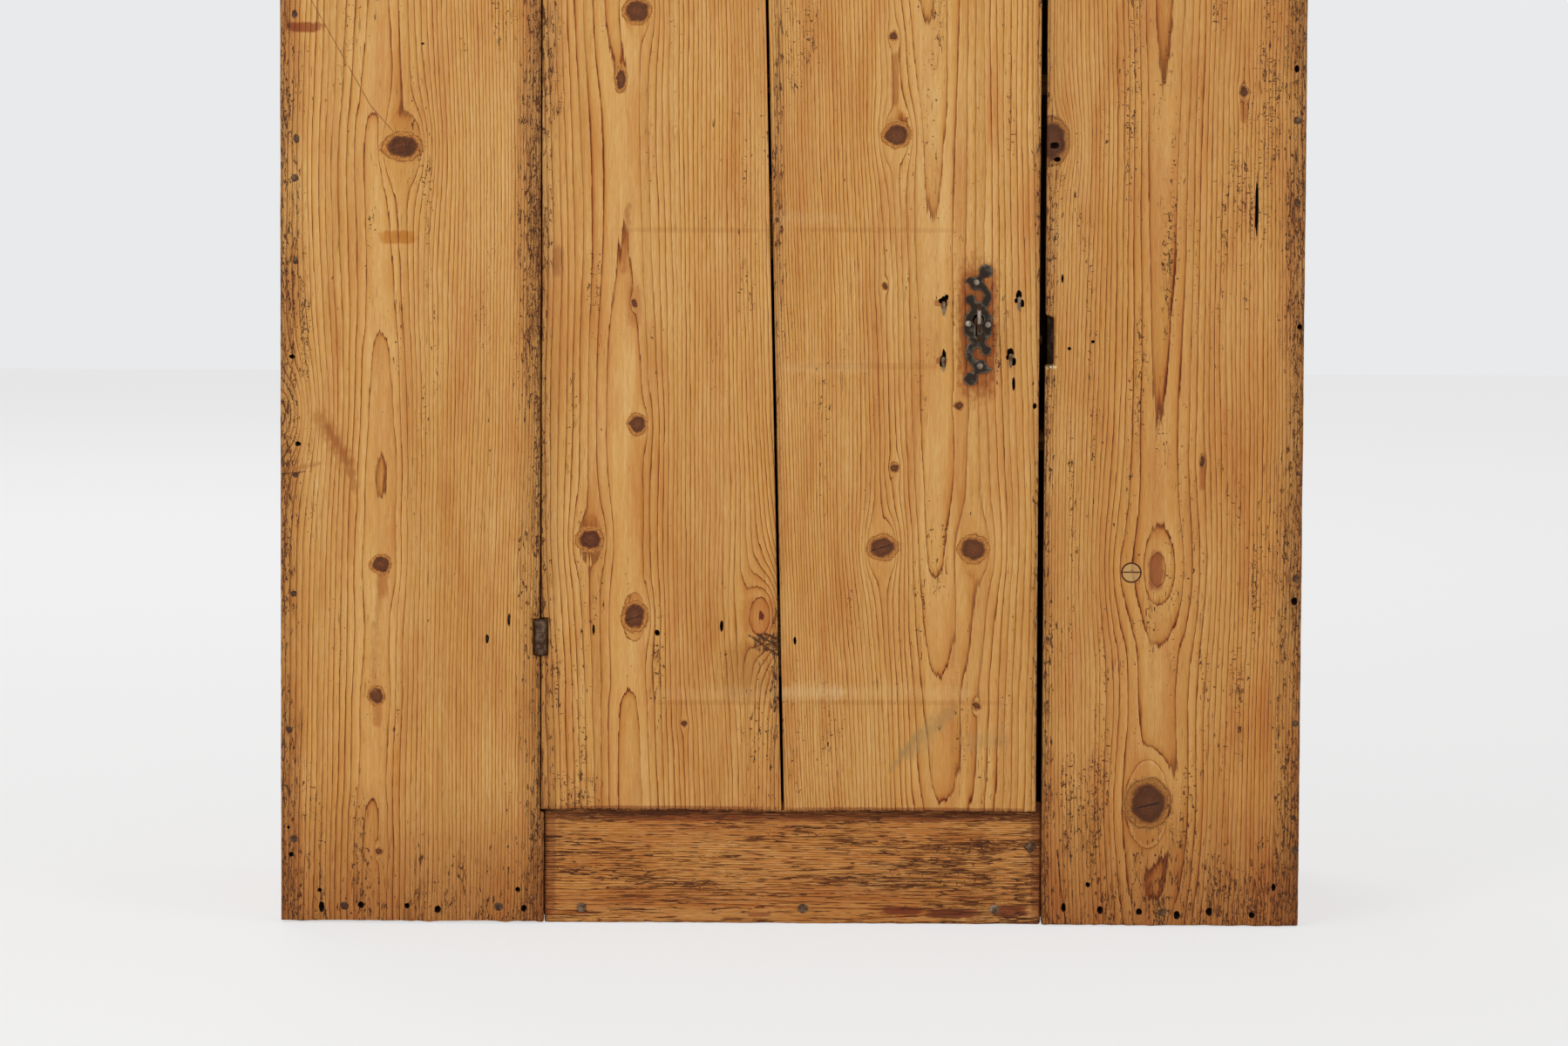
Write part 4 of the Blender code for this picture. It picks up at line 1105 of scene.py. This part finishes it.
for side in ("left", "right"):
    for part in ("front", "rear"):
        plain_board(f"{side}_side_{part}_board", STANDING, WAXED_SIDES)
for part in ("front", "rear"):
    plain_board(f"top_board_{part}", LYING, WAXED_SIDES)
    plain_board(f"floor_board_{part}", LYING, INNER_TONE)
    for shelf in ("lower", "middle", "upper"):
        plain_board(f"shelf_{shelf}_{part}_board", LYING, INNER_TONE)
for number in range(1, 6):
    plain_board(f"back_board_{number}", STANDING_BACK, INNER_TONE)
for shelf in ("lower", "middle", "upper"):
    plain_board(f"door_batten_{shelf}", BATTEN, INNER_TONE)
    for side in ("left", "right"):
        plain_board(f"shelf_{shelf}_cleat_{side}", CLEAT, INNER_TONE)
plain_board("top_rail", BATTEN, WAXED_SIDES)
for node, material in (
    ("left_stile", left_stile_pine),
    ("door_plank_left", left_plank_pine),
    ("door_plank_right", right_plank_pine),
    ("right_stile", right_stile_pine),
    ("bottom_rail", bottom_rail_pine),
):
    dress(node, material)
print("materials so far:", len(bpy.data.materials))

# %% [markdown]
# ## Forged iron
#
# The hinges, the lock and the nails are wrought iron, hammered hot and left to rust and wear for
# two centuries. Iron that is handled shines dark grey on its raised edges, and the hollows keep a
# brown-black scale of oxide that hardly reflects. A metal keeps the default IOR, and its colour is
# that of the bare metal. Where the scale lies, metallic falls and roughness rises together.


# %% Iron
HAMMER_MARK = 4 * MM
SCALE_BLOTCH = 6 * MM
RUST_PIT = 1.1 * MM
IRON_RELIEF = 0.5 * MM


def wrought_iron(
    name, seed, bright="#85725E", scale="#241A13", rust="#53311A", worn=0.4, rim=0.0, highlight_band=None
):
    """Forged iron with scale and rust, worn on high spots and its rim, and a band painted bright as
    a highlight.
    """
    material, tree, shader = new_finish(name)
    place = add(tree, "TexCoord").node.outputs["Object"]
    place = add(tree, "VectorMath.ADD", place, (seed * 0.9, seed * 1.3, seed * 0.7))
    blotch = {"Vector": place, "Scale": 1 / SCALE_BLOTCH, "Detail": 4.0}
    blotch = add(tree, "TexNoise", named=blotch)
    pits = add(tree, "TexNoise", named={"Vector": place, "Scale": 1 / RUST_PIT, "Detail": 3.0})
    hammer = add(tree, "TexVoronoi", named={"Vector": place, "Scale": 1 / HAMMER_MARK})
    bare = add(tree, "Math.MULTIPLY_ADD", blotch, 2.6, worn - 1.55)
    if rim:
        edge = add(tree, "Attribute", attribute_name="rim").node.outputs["Fac"]
        bare = add(tree, "Math.MULTIPLY_ADD", edge, rim, bare)
    # A painted highlight: bare, bright iron in a band between two heights, in front of a depth.
    if highlight_band:
        spot = add(tree, "SeparateXYZ", add(tree, "TexCoord").node.outputs["Object"]).node
        height, half_height, depth = highlight_band
        polished = add(tree, "Math.COMPARE", spot.outputs["Z"], height, half_height)
        in_front = add(tree, "Math.LESS_THAN", spot.outputs["Y"], depth)
        bare = add(tree, "Math.MULTIPLY_ADD", polished, in_front, bare)
    bare = add(tree, "Math.ADD", bare, 0.0, use_clamp=True)
    scale_colour = add(tree, "Mix", pits, scale, rust, data_type="RGBA")
    base = add(tree, "Mix", bare, scale_colour, bright, data_type="RGBA")
    tree.links.new(base, shader.inputs["Base Color"])
    metallic = add(tree, "Math.MULTIPLY_ADD", bare, 0.65, 0.15)
    tree.links.new(metallic, shader.inputs["Metallic"])
    rough = add(tree, "Math.MULTIPLY_ADD", bare, -0.30, 0.72)
    tree.links.new(rough, shader.inputs["Roughness"])
    shader.inputs["Specular IOR Level"].default_value = 0.25
    height = add(tree, "Math.MULTIPLY_ADD", pits, 0.6, hammer)
    bump = add(tree, "Bump", named={"Height": height, "Distance": IRON_RELIEF, "Strength": 0.6})
    tree.links.new(bump, shader.inputs["Normal"])
    return material


lock_iron = wrought_iron("wrought iron lock", seed=1)
for name, thing in nodes.items():
    if thing.data.materials and "iron" in thing.data.materials[0].name:
        dress(name, lock_iron)
        print("iron:", name)

# %% [markdown]
# ## Boards with worn arrises
#
# The model's boards are true to size but ruler-straight, and no edge of an old cupboard is. They
# could be sculpted by hand. It is quicker, and the same on every run, to cut a copy of each board
# into small squares, sink its arrises by a slow noise, wear its foot unevenly, and take out the
# nail holes and chips that the photograph shows. All of it only takes wood away, so the copy stays
# inside the board that it replaces.

# %% A worn copy of a board
STATION = 0.010
FINE_STATION = 0.004
STATION_ACROSS = 0.006
FOOT_ZONE = 0.030
ARRIS_WEAR = 0.0014
EDGE_WAVE = 0.0003


def cut_into_squares(form, low, high):
    """Cut a mesh by planes across x and z, closer together near its worn foot."""
    stations = []
    z = low.z + FINE_STATION
    while z < high.z:
        stations.append((z, 2))
        z += FINE_STATION if z < low.z + FOOT_ZONE else STATION
    x = low.x + FINE_STATION
    while x < high.x:
        stations.append((x, 0))
        x += STATION_ACROSS
    for place, axis in stations:
        normal = Vector((0, 0, 0))
        normal[axis] = 1
        everything = form.verts[:] + form.edges[:] + form.faces[:]
        bmesh.ops.bisect_plane(form, geom=everything, plane_co=normal * place, plane_no=normal)


def wear_down(form, foot_wear, seed):
    """Sink the arrises and let the long edges and the foot run a little crooked."""
    form.normal_update()
    moves = []
    for vertex in form.verts:
        normal = vertex.normal
        place = vertex.co
        on_arris = 1 - max(abs(part) for part in normal)
        slow = noise.noise(Vector((seed, place.x * 9, place.z * 14)))
        quick = noise.noise(Vector((seed + 5, place.x * 60, place.z * 90)))
        sink = ARRIS_WEAR * on_arris * max(0.0, 0.6 + 1.4 * slow + 0.9 * quick) * 3
        move = -normal * sink
        wave = 0.5 + 0.5 * noise.noise(Vector((seed + 9, 0, place.z * 7)))
        move.x -= normal.x * EDGE_WAVE * max(0.0, wave)
        if normal.z < -0.3:
            ragged = 0.55 + 0.5 * noise.noise(Vector((place.x * 22, place.y * 20, seed)))
            ragged += 0.35 * noise.noise(Vector((place.x * 130, place.y * 90, seed)))
            move.z += foot_wear * max(0.0, ragged) * -normal.z
        moves.append((vertex, move))
    for vertex, move in moves:
        vertex.co += move


def finish_mesh(name, form, material, smooth=40):
    """Turn a bmesh into an object with one material and soft shading on its gentle edges."""
    mesh = bpy.data.meshes.new(name)
    form.to_mesh(mesh)
    form.free()
    mesh.materials.append(material)
    mesh.shade_smooth()
    mesh.set_sharp_from_angle(angle=math.radians(smooth))
    thing = bpy.data.objects.new(name, mesh)
    scene.collection.objects.link(thing)
    return thing


def worn_board(node, body, material, foot_wear, seed):
    """A worn copy of one of the model's boards, which it replaces."""
    low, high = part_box(node)
    form = bmesh.new()
    form.from_mesh(nodes[node].data)
    bmesh.ops.remove_doubles(form, verts=form.verts[:], dist=0.00001)
    bmesh.ops.dissolve_limit(form, angle_limit=0.01, verts=form.verts[:], edges=form.edges[:])
    cut_into_squares(form, low, high)
    wear_down(form, foot_wear, seed)
    board = finish_mesh("worn_" + node, form, material)
    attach(board, body)
    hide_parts(node)
    print(board.name, len(board.data.polygons), "faces")
    return board


# %% The front boards, worn
front_boards = {}
for node, body, material, foot_wear, seed in (
    ("left_stile", "cupboard", left_stile_pine, 0.0045, 1),
    ("right_stile", "cupboard", right_stile_pine, 0.0020, 2),
    ("bottom_rail", "cupboard", bottom_rail_pine, 0.0012, 3),
    ("door_plank_left", "door", left_plank_pine, 0.0030, 4),
    ("door_plank_right", "door", right_plank_pine, 0.0030, 5),
):
    front_boards[node] = worn_board(node, body, material, foot_wear, seed)

# %% [markdown]
# ## Nail holes, and the nails that are left
#
# Old nails have rusted through, been pulled or been driven deep, so some places show a grey head
# almost level with the wood and others only a black hole. A hole could be painted, but it would
# vanish in a side view, so it is cut: one mesh of crooked pegs for each board, taken out of it with
# a Boolean. The heads are hammered discs with a raggedly round rim, joined to one piece a board.

# %% Inside a nail hole
# The iron's rust stains the wood round the nail, and the inside is also painted near black as the
# hole's shade, so hardly any light comes back out.
DARKEST_HOLE = "#120B06"
PALEST_HOLE = "#2C1C10"
HOLE_FIBRE = 1.5 * MM
hole_pine, hole_tree, hole_shader = new_finish("iron-blackened pine with painted shade in nail holes")
hole_place = add(hole_tree, "TexCoord").node.outputs["Object"]
hole_fibre = {"Vector": hole_place, "Scale": 1 / HOLE_FIBRE, "Detail": 2.0}
hole_fibre = add(hole_tree, "TexNoise", named=hole_fibre)
hole_colour = add(hole_tree, "Mix", hole_fibre, DARKEST_HOLE, PALEST_HOLE, data_type="RGBA")
hole_tree.links.new(hole_colour, hole_shader.inputs["Base Color"])
hole_shader.inputs["Roughness"].default_value = 0.9
hole_shader.inputs["Specular IOR Level"].default_value = 0.1
print("finished:", hole_pine.name)

# %% Crooked pegs and hammered heads
HOLE_DEPTH = 0.006
PEG_SIDES = 10
HEAD_SIDES = 18
RAGGED_RIM = 0.14


def crooked_ring(form, centre, half_width, half_height, depth, chance, sides=HEAD_SIDES):
    """A ragged ring of points in the front plane, sunk by `depth` (less than nothing stands out)."""
    ring = []
    for step in range(sides):
        turn = 2 * math.pi * step / sides
        ragged = 1 + chance.uniform(-RAGGED_RIM, RAGGED_RIM)
        x = centre.x + half_width * ragged * math.cos(turn)
        z = centre.z + half_height * ragged * math.sin(turn)
        ring.append(form.verts.new((x, centre.y + depth, z)))
    return ring


def skin(form, rings):
    """Join rings of the same number of points with bands of faces, and close both ends."""
    for first, second in zip(rings, rings[1:]):
        for step, point in enumerate(first):
            following = (step + 1) % len(first)
            form.faces.new((point, first[following], second[following], second[step]))
    form.faces.new(reversed(rings[0]))
    form.faces.new(rings[-1])


def peg(form, centre, half_width, half_height, depth, chance):
    """A crooked peg from above the surface down to `depth`, to cut a hole with."""
    rings = []
    for sunk, share in ((-0.002, 1.25), (0.0004, 1.0), (depth * 0.6, 0.75), (depth, 0.35)):
        size = (half_width * share, half_height * share)
        rings.append(crooked_ring(form, centre, *size, sunk, chance, PEG_SIDES))
    skin(form, rings)


def head(form, centre, half_width, half_height, height, chance):
    """A hammered nail head: a low dome with a ragged rim that reaches into the wood."""
    rings = []
    profile = ((0.0012, 0.86), (0.0002, 0.96), (-height * 0.45, 1.0), (-height * 0.85, 0.80))
    profile += ((-height, 0.45), (-height * 1.02, 0.12))
    for sunk, share in profile:
        size = (half_width * share, half_height * share)
        rings.append(crooked_ring(form, centre, *size, sunk, chance))
    skin(form, rings)


def outward(form):
    """Make the faces point out."""
    bmesh.ops.recalc_face_normals(form, faces=form.faces[:])


def cut_holes(board, holes, seed, crossing=False):
    """Cut crooked dark holes, given as pixel x, y, half width and half height in pixels."""
    chance = random.Random(seed)
    form = bmesh.new()
    for x, y, half_width, half_height in holes:
        size = (half_width * METRES_PER_PIXEL, half_height * METRES_PER_PIXEL)
        peg(form, on_front(x, y), *size, HOLE_DEPTH, chance)
    outward(form)
    mesh = bpy.data.meshes.new("pegs")
    form.to_mesh(mesh)
    form.free()
    mesh.materials.append(hole_pine)
    pegs = bpy.data.objects.new("pegs", mesh)
    scene.collection.objects.link(pegs)
    carve = board.modifiers.new("nail holes", "BOOLEAN")
    carve.object = pegs
    carve.solver = "EXACT"
    carve.use_self = crossing
    carve.material_mode = "TRANSFER"
    view = bpy.context.evaluated_depsgraph_get()
    before = board.data
    board.data = bpy.data.meshes.new_from_object(board.evaluated_get(view))
    board.modifiers.clear()
    bpy.data.meshes.remove(before)
    bpy.data.objects.remove(pegs)
    bpy.data.meshes.remove(mesh)
    print(board.name, "holes:", len(holes), "faces:", len(board.data.polygons))


# %% Where the holes and the heads are
LEFT_STILE_HOLES = (
    (342, 509, 3.4, 2.6), (331, 949, 1.8, 2.0), (334, 980, 3.0, 3.0), (367, 1021, 2.6, 2.4),
    (369, 1040, 3.0, 6.0), (414, 1038, 3.6, 3.8), (467, 1039, 3.2, 3.4), (502, 1043, 3.6, 4.0),
    (594, 1020, 2.8, 2.8), (601, 1042, 3.2, 4.2), (559, 733, 2.0, 5.0), (584, 711, 1.6, 7.0),
    (335, 409, 3.6, 2.4), (485, 50, 2.2, 1.2),
)
LEFT_STILE_HEADS = (
    (340, 159, 3.4, 5.0), (338, 204, 4.6, 4.4), (339, 299, 3.0, 4.4), (339, 545, 3.2, 3.0),
    (337, 681, 3.6, 3.6), (332, 837, 3.6, 3.8), (337, 962, 4.4, 4.4), (395, 1039, 4.8, 4.6),
    (572, 1040, 5.0, 4.8), (338, 16, 3.0, 5.0),
)
RIGHT_STILE_HOLES = (
    (1488, 79, 3.0, 4.5), (1491, 375, 3.0, 3.0), (1220, 1041, 3.0, 5.0), (1262, 1044, 3.2, 4.5),
    (1307, 1046, 3.6, 4.0), (1350, 1050, 3.6, 5.0), (1387, 1046, 3.8, 4.6), (1436, 1050, 3.4, 3.6),
    (1248, 1015, 2.6, 3.0), (1461, 1018, 2.4, 4.6), (1254, 392, 2.2, 1.8), (1227, 400, 2.2, 1.8),
    (1219, 320, 1.4, 5.0), (1442, 240, 2.0, 30.0), (1485, 690, 3.6, 4.4),
    (1210, 167, 5.0, 4.0), (1213, 183, 4.0, 3.0),
)
RIGHT_STILE_HEADS = (
    (1489, 138, 4.4, 4.4), (1488, 232, 3.6, 4.0), (1487, 664, 4.0, 5.0), (1486, 830, 3.6, 3.6),
    (1486, 975, 4.0, 4.4), (1333, 1047, 4.4, 4.2), (1484, 938, 3.2, 2.8),
)
LEFT_PLANK_HOLES = ((754, 726, 3.0, 3.6), (681, 722, 1.6, 6.0), (828, 718, 2.0, 7.0))
RIGHT_PLANK_HOLES = (
    (1083, 348, 3.4, 9.0), (1080, 345, 3.4, 3.0), (1086, 341, 2.4, 3.4), (1169, 339, 3.6, 6.0),
    (1172, 348, 3.4, 4.6), (1166, 345, 2.0, 3.0), (1083, 412, 2.6, 11.0), (1080, 417, 2.0, 4.0),
    (1159, 405, 3.8, 6.0), (1163, 415, 3.0, 4.6), (1156, 410, 1.8, 3.0),
    (1187, 466, 2.4, 3.4), (912, 735, 1.6, 4.5), (1163, 440, 1.8, 8.0),
)


# %% Cut them, and put the heads in
LOWEST_HEAD = 0.0003
HIGHEST_HEAD = 0.0008


def nails_on(board_name, body, heads, seed):
    """The heads that are left on one board, as one piece."""
    chance = random.Random(seed)
    form = bmesh.new()
    for x, y, half_width, half_height in heads:
        size = (half_width * METRES_PER_PIXEL, half_height * METRES_PER_PIXEL)
        height = chance.uniform(LOWEST_HEAD, HIGHEST_HEAD)
        head(form, on_front(x, y), *size, height, chance)
    outward(form)
    nails = finish_mesh("nails_" + board_name, form, nail_iron, smooth=60)
    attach(nails, body)
    print(nails.name, "heads:", len(heads))


nail_iron = wrought_iron(
    "rusted nail heads", bright="#80684E", scale="#3E2B1D", worn=0.35, seed=3
)
cut_holes(front_boards["left_stile"], LEFT_STILE_HOLES, 11)
cut_holes(front_boards["right_stile"], RIGHT_STILE_HOLES, 12)
cut_holes(front_boards["door_plank_left"], LEFT_PLANK_HOLES, 13)
cut_holes(front_boards["door_plank_right"], RIGHT_PLANK_HOLES, 14, crossing=True)
nails_on("left_stile", "cupboard", LEFT_STILE_HEADS, 21)
nails_on("right_stile", "cupboard", RIGHT_STILE_HEADS, 22)

# %% [markdown]
# ## Forged copies of the iron pieces
#
# The model's keyhole plate, key and nails have sharp, flat faces. Forged ones are soft-edged and a
# little swollen, with hammer marks. Subdivision would round them evenly, but it pinches at the thin
# scrolls. A voxel remesh makes an even fine mesh of any shape, and then a few rounds of smoothing
# and a slow noise give the edge and the hammer marks.


# %% Forge a copy
RIM_WIDTH = 0.0013
SWELL_REACH = 0.0022
DENTS = 420


def forged(node, body, material, voxel, rounds=3, swell=0.0, hammer=0.00012):
    """A soft-edged copy of an iron piece of the model. Swell domes its front face."""
    rough = bpy.data.objects.new("rough", nodes[node].data.copy())
    scene.collection.objects.link(rough)
    remesh = rough.modifiers.new("even mesh", "REMESH")
    remesh.mode = "VOXEL"
    remesh.voxel_size = voxel
    remesh.use_smooth_shade = True
    view = bpy.context.evaluated_depsgraph_get()
    mesh = bpy.data.meshes.new_from_object(rough.evaluated_get(view))
    bpy.data.objects.remove(rough)
    form = bmesh.new()
    form.from_mesh(mesh)
    bpy.data.meshes.remove(mesh)
    every_way = {"use_axis_x": True, "use_axis_y": True, "use_axis_z": True}
    for _ in range(rounds):
        bmesh.ops.smooth_vert(form, verts=form.verts[:], factor=0.5, **every_way)
    form.normal_update()
    if swell:
        outline = [v.co.copy() for v in form.verts if abs(v.normal.y) < 0.5]
        tree = KDTree(len(outline))
        for index, place in enumerate(outline):
            tree.insert(place, index)
        tree.balance()
    rim = form.verts.layers.float.new("rim")
    moves = []
    for vertex in form.verts:
        dent = noise.noise(vertex.co * DENTS) * hammer
        move = vertex.normal * dent
        if swell and vertex.normal.y < -0.5:
            gap = tree.find(vertex.co)[2]
            move.y -= swell * (1 - math.exp(-gap / SWELL_REACH))
            vertex[rim] = math.exp(-((gap / RIM_WIDTH) ** 2))
        moves.append((vertex, move))
    for vertex, move in moves:
        vertex.co += move
    copy = finish_mesh("forged_" + node, form, material, smooth=70)
    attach(copy, body)
    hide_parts(node)
    print(copy.name, len(copy.data.polygons), "faces")


# %% Plate, key and nails
plate_iron = wrought_iron(
    "wrought iron keyhole plate", bright="#746C5E", scale="#18130E", rust="#3A281A", worn=0.2,
    rim=0.8, seed=2,
)
# A band some way below the key's top is painted highlight where light catches the bow:
# bare, bright iron, smoother and more metallic.
BOW_BELOW_TOP = 0.014
BOW_HALF_HEIGHT = 0.007
BOW_BEFORE_FRONT = 0.03
bow_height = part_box("key")[1].z - BOW_BELOW_TOP
key_iron = wrought_iron(
    "iron key with a painted highlight band", bright="#A0988C", scale="#1C1712", worn=0.0,
    highlight_band=(bow_height, BOW_HALF_HEIGHT, front_y - BOW_BEFORE_FRONT), seed=4,
)
dome_iron = wrought_iron("polished iron nail domes", bright="#A89C8C", worn=0.9, seed=5)
rubbed_iron = wrought_iron(
    "rubbed iron screw heads and nails", bright="#A08E76", scale="#5A4632", worn=0.6, seed=6
)
forged("escutcheon", "door", plate_iron, 0.00045, swell=0.0008)
forged("key", "key", key_iron, 0.0005, rounds=4, hammer=0.00006)
for number in range(1, 5):
    forged(f"escutcheon_nail_{number}", "door", dome_iron, 0.0003, rounds=4, hammer=0.00005)
    forged(f"lock_nail_{number}", "door", rubbed_iron, 0.0005, rounds=2)
forged("rail_nail", "cupboard", nail_iron, 0.0006, rounds=2)
for number in range(1, 4):
    forged(f"rail_screw_{number}", "cupboard", rubbed_iron, 0.00045, rounds=2, hammer=0.00005)

# %% [markdown]
# ## Floor, backdrop and light
#
# A plain studio: a pale floor that runs back into a pale background, a large soft lamp in front and
# to the left, and an even fill from all round. Most of the light on the front of the real cupboard
# comes straight on, so its grain shows without glare. The levels are set so that a colour renders
# about as it is written.

# %% Lamps
LAMP_SIZE = 2.6


def lamp(name, place, target, size, watts):
    """A square area lamp that looks at a point."""
    data = bpy.data.lights.new(name, "AREA")
    data.size = size
    data.energy = watts
    thing = bpy.data.objects.new(name, data)
    thing.location = place
    thing.rotation_euler = (Vector(target) - Vector(place)).to_track_quat("-Z", "Y").to_euler()
    scene.collection.objects.link(thing)
    print(name, watts, "W")


lamp("key lamp", (-2.6, -4.2, 3.2), (0, 0, 0.7), LAMP_SIZE, 96)
lamp("fill lamp", (3.2, -3.6, 2.2), (0, 0, 0.6), LAMP_SIZE, 42)
lamp("back lamp", (-1.5, 4.5, 3.5), (0, 0, 0.8), LAMP_SIZE, 62)

# %% Floor
# To the camera the floor also glows a little, so that it stays as pale as the background.
FLOOR_SIZE = 14.0
FLOOR_COLOUR = "#EFEFEF"
FLOOR_GLOW = "#F6F6F6"
GLOW_SHARE = 0.7

floor_mesh = bpy.data.meshes.new("floor")
half = FLOOR_SIZE / 2
floor_mesh.from_pydata(
    [(-half, -half, 0), (half, -half, 0), (half, half, 0), (-half, half, 0)], [], [(0, 1, 2, 3)]
)
studio_floor = bpy.data.objects.new("floor", floor_mesh)
studio_floor.location.z = cad_box[0].z
scene.collection.objects.link(studio_floor)
floor_paint, floor_tree, floor_shader = new_finish("pale studio floor paint")
floor_shader.inputs["Base Color"].default_value = colour(FLOOR_COLOUR)
floor_shader.inputs["Roughness"].default_value = 0.85
floor_shader.inputs["Specular IOR Level"].default_value = 0.2
floor_view = add(floor_tree, "LightPath").node.outputs["Is Camera Ray"]
floor_view = add(floor_tree, "Math.MULTIPLY", floor_view, GLOW_SHARE)
floor_white = add(floor_tree, "Emission", FLOOR_GLOW, 1.0)
floor_both = add(floor_tree, "MixShader", floor_view, floor_shader.outputs[0], floor_white)
floor_output = next(n for n in floor_tree.nodes if n.type == "OUTPUT_MATERIAL")
floor_tree.links.new(floor_both, floor_output.inputs[0])
floor_mesh.materials.append(floor_paint)
print("floor:", FLOOR_SIZE, "m square")

# %% Background
# The camera, mirrors and glass see a pale backdrop, while everything else gets a softer fill.
FILL_LIGHT = "#FFFFFF"
FILL_STRENGTH = 0.52
BACKDROP = "#E9EAEB"
world = bpy.data.worlds.new("pale studio")
scene.world = world
world.use_nodes = True
sky = world.node_tree
sky.nodes.clear()
seen = add(sky, "LightPath").node.outputs
shown = add(sky, "Math.MAXIMUM", seen["Is Camera Ray"], seen["Is Glossy Ray"])
shown = add(sky, "Math.MAXIMUM", shown, seen["Is Transmission Ray"])
light = add(sky, "Background", FILL_LIGHT, FILL_STRENGTH)
backdrop = add(sky, "Background", BACKDROP, 1.0)
both = add(sky, "MixShader", shown, light, backdrop)
world_output = sky.nodes.new("ShaderNodeOutputWorld")
sky.links.new(both, world_output.inputs[0])
print("fill light:", FILL_STRENGTH)

# %% Last lines
scene.view_settings.view_transform = "Standard"
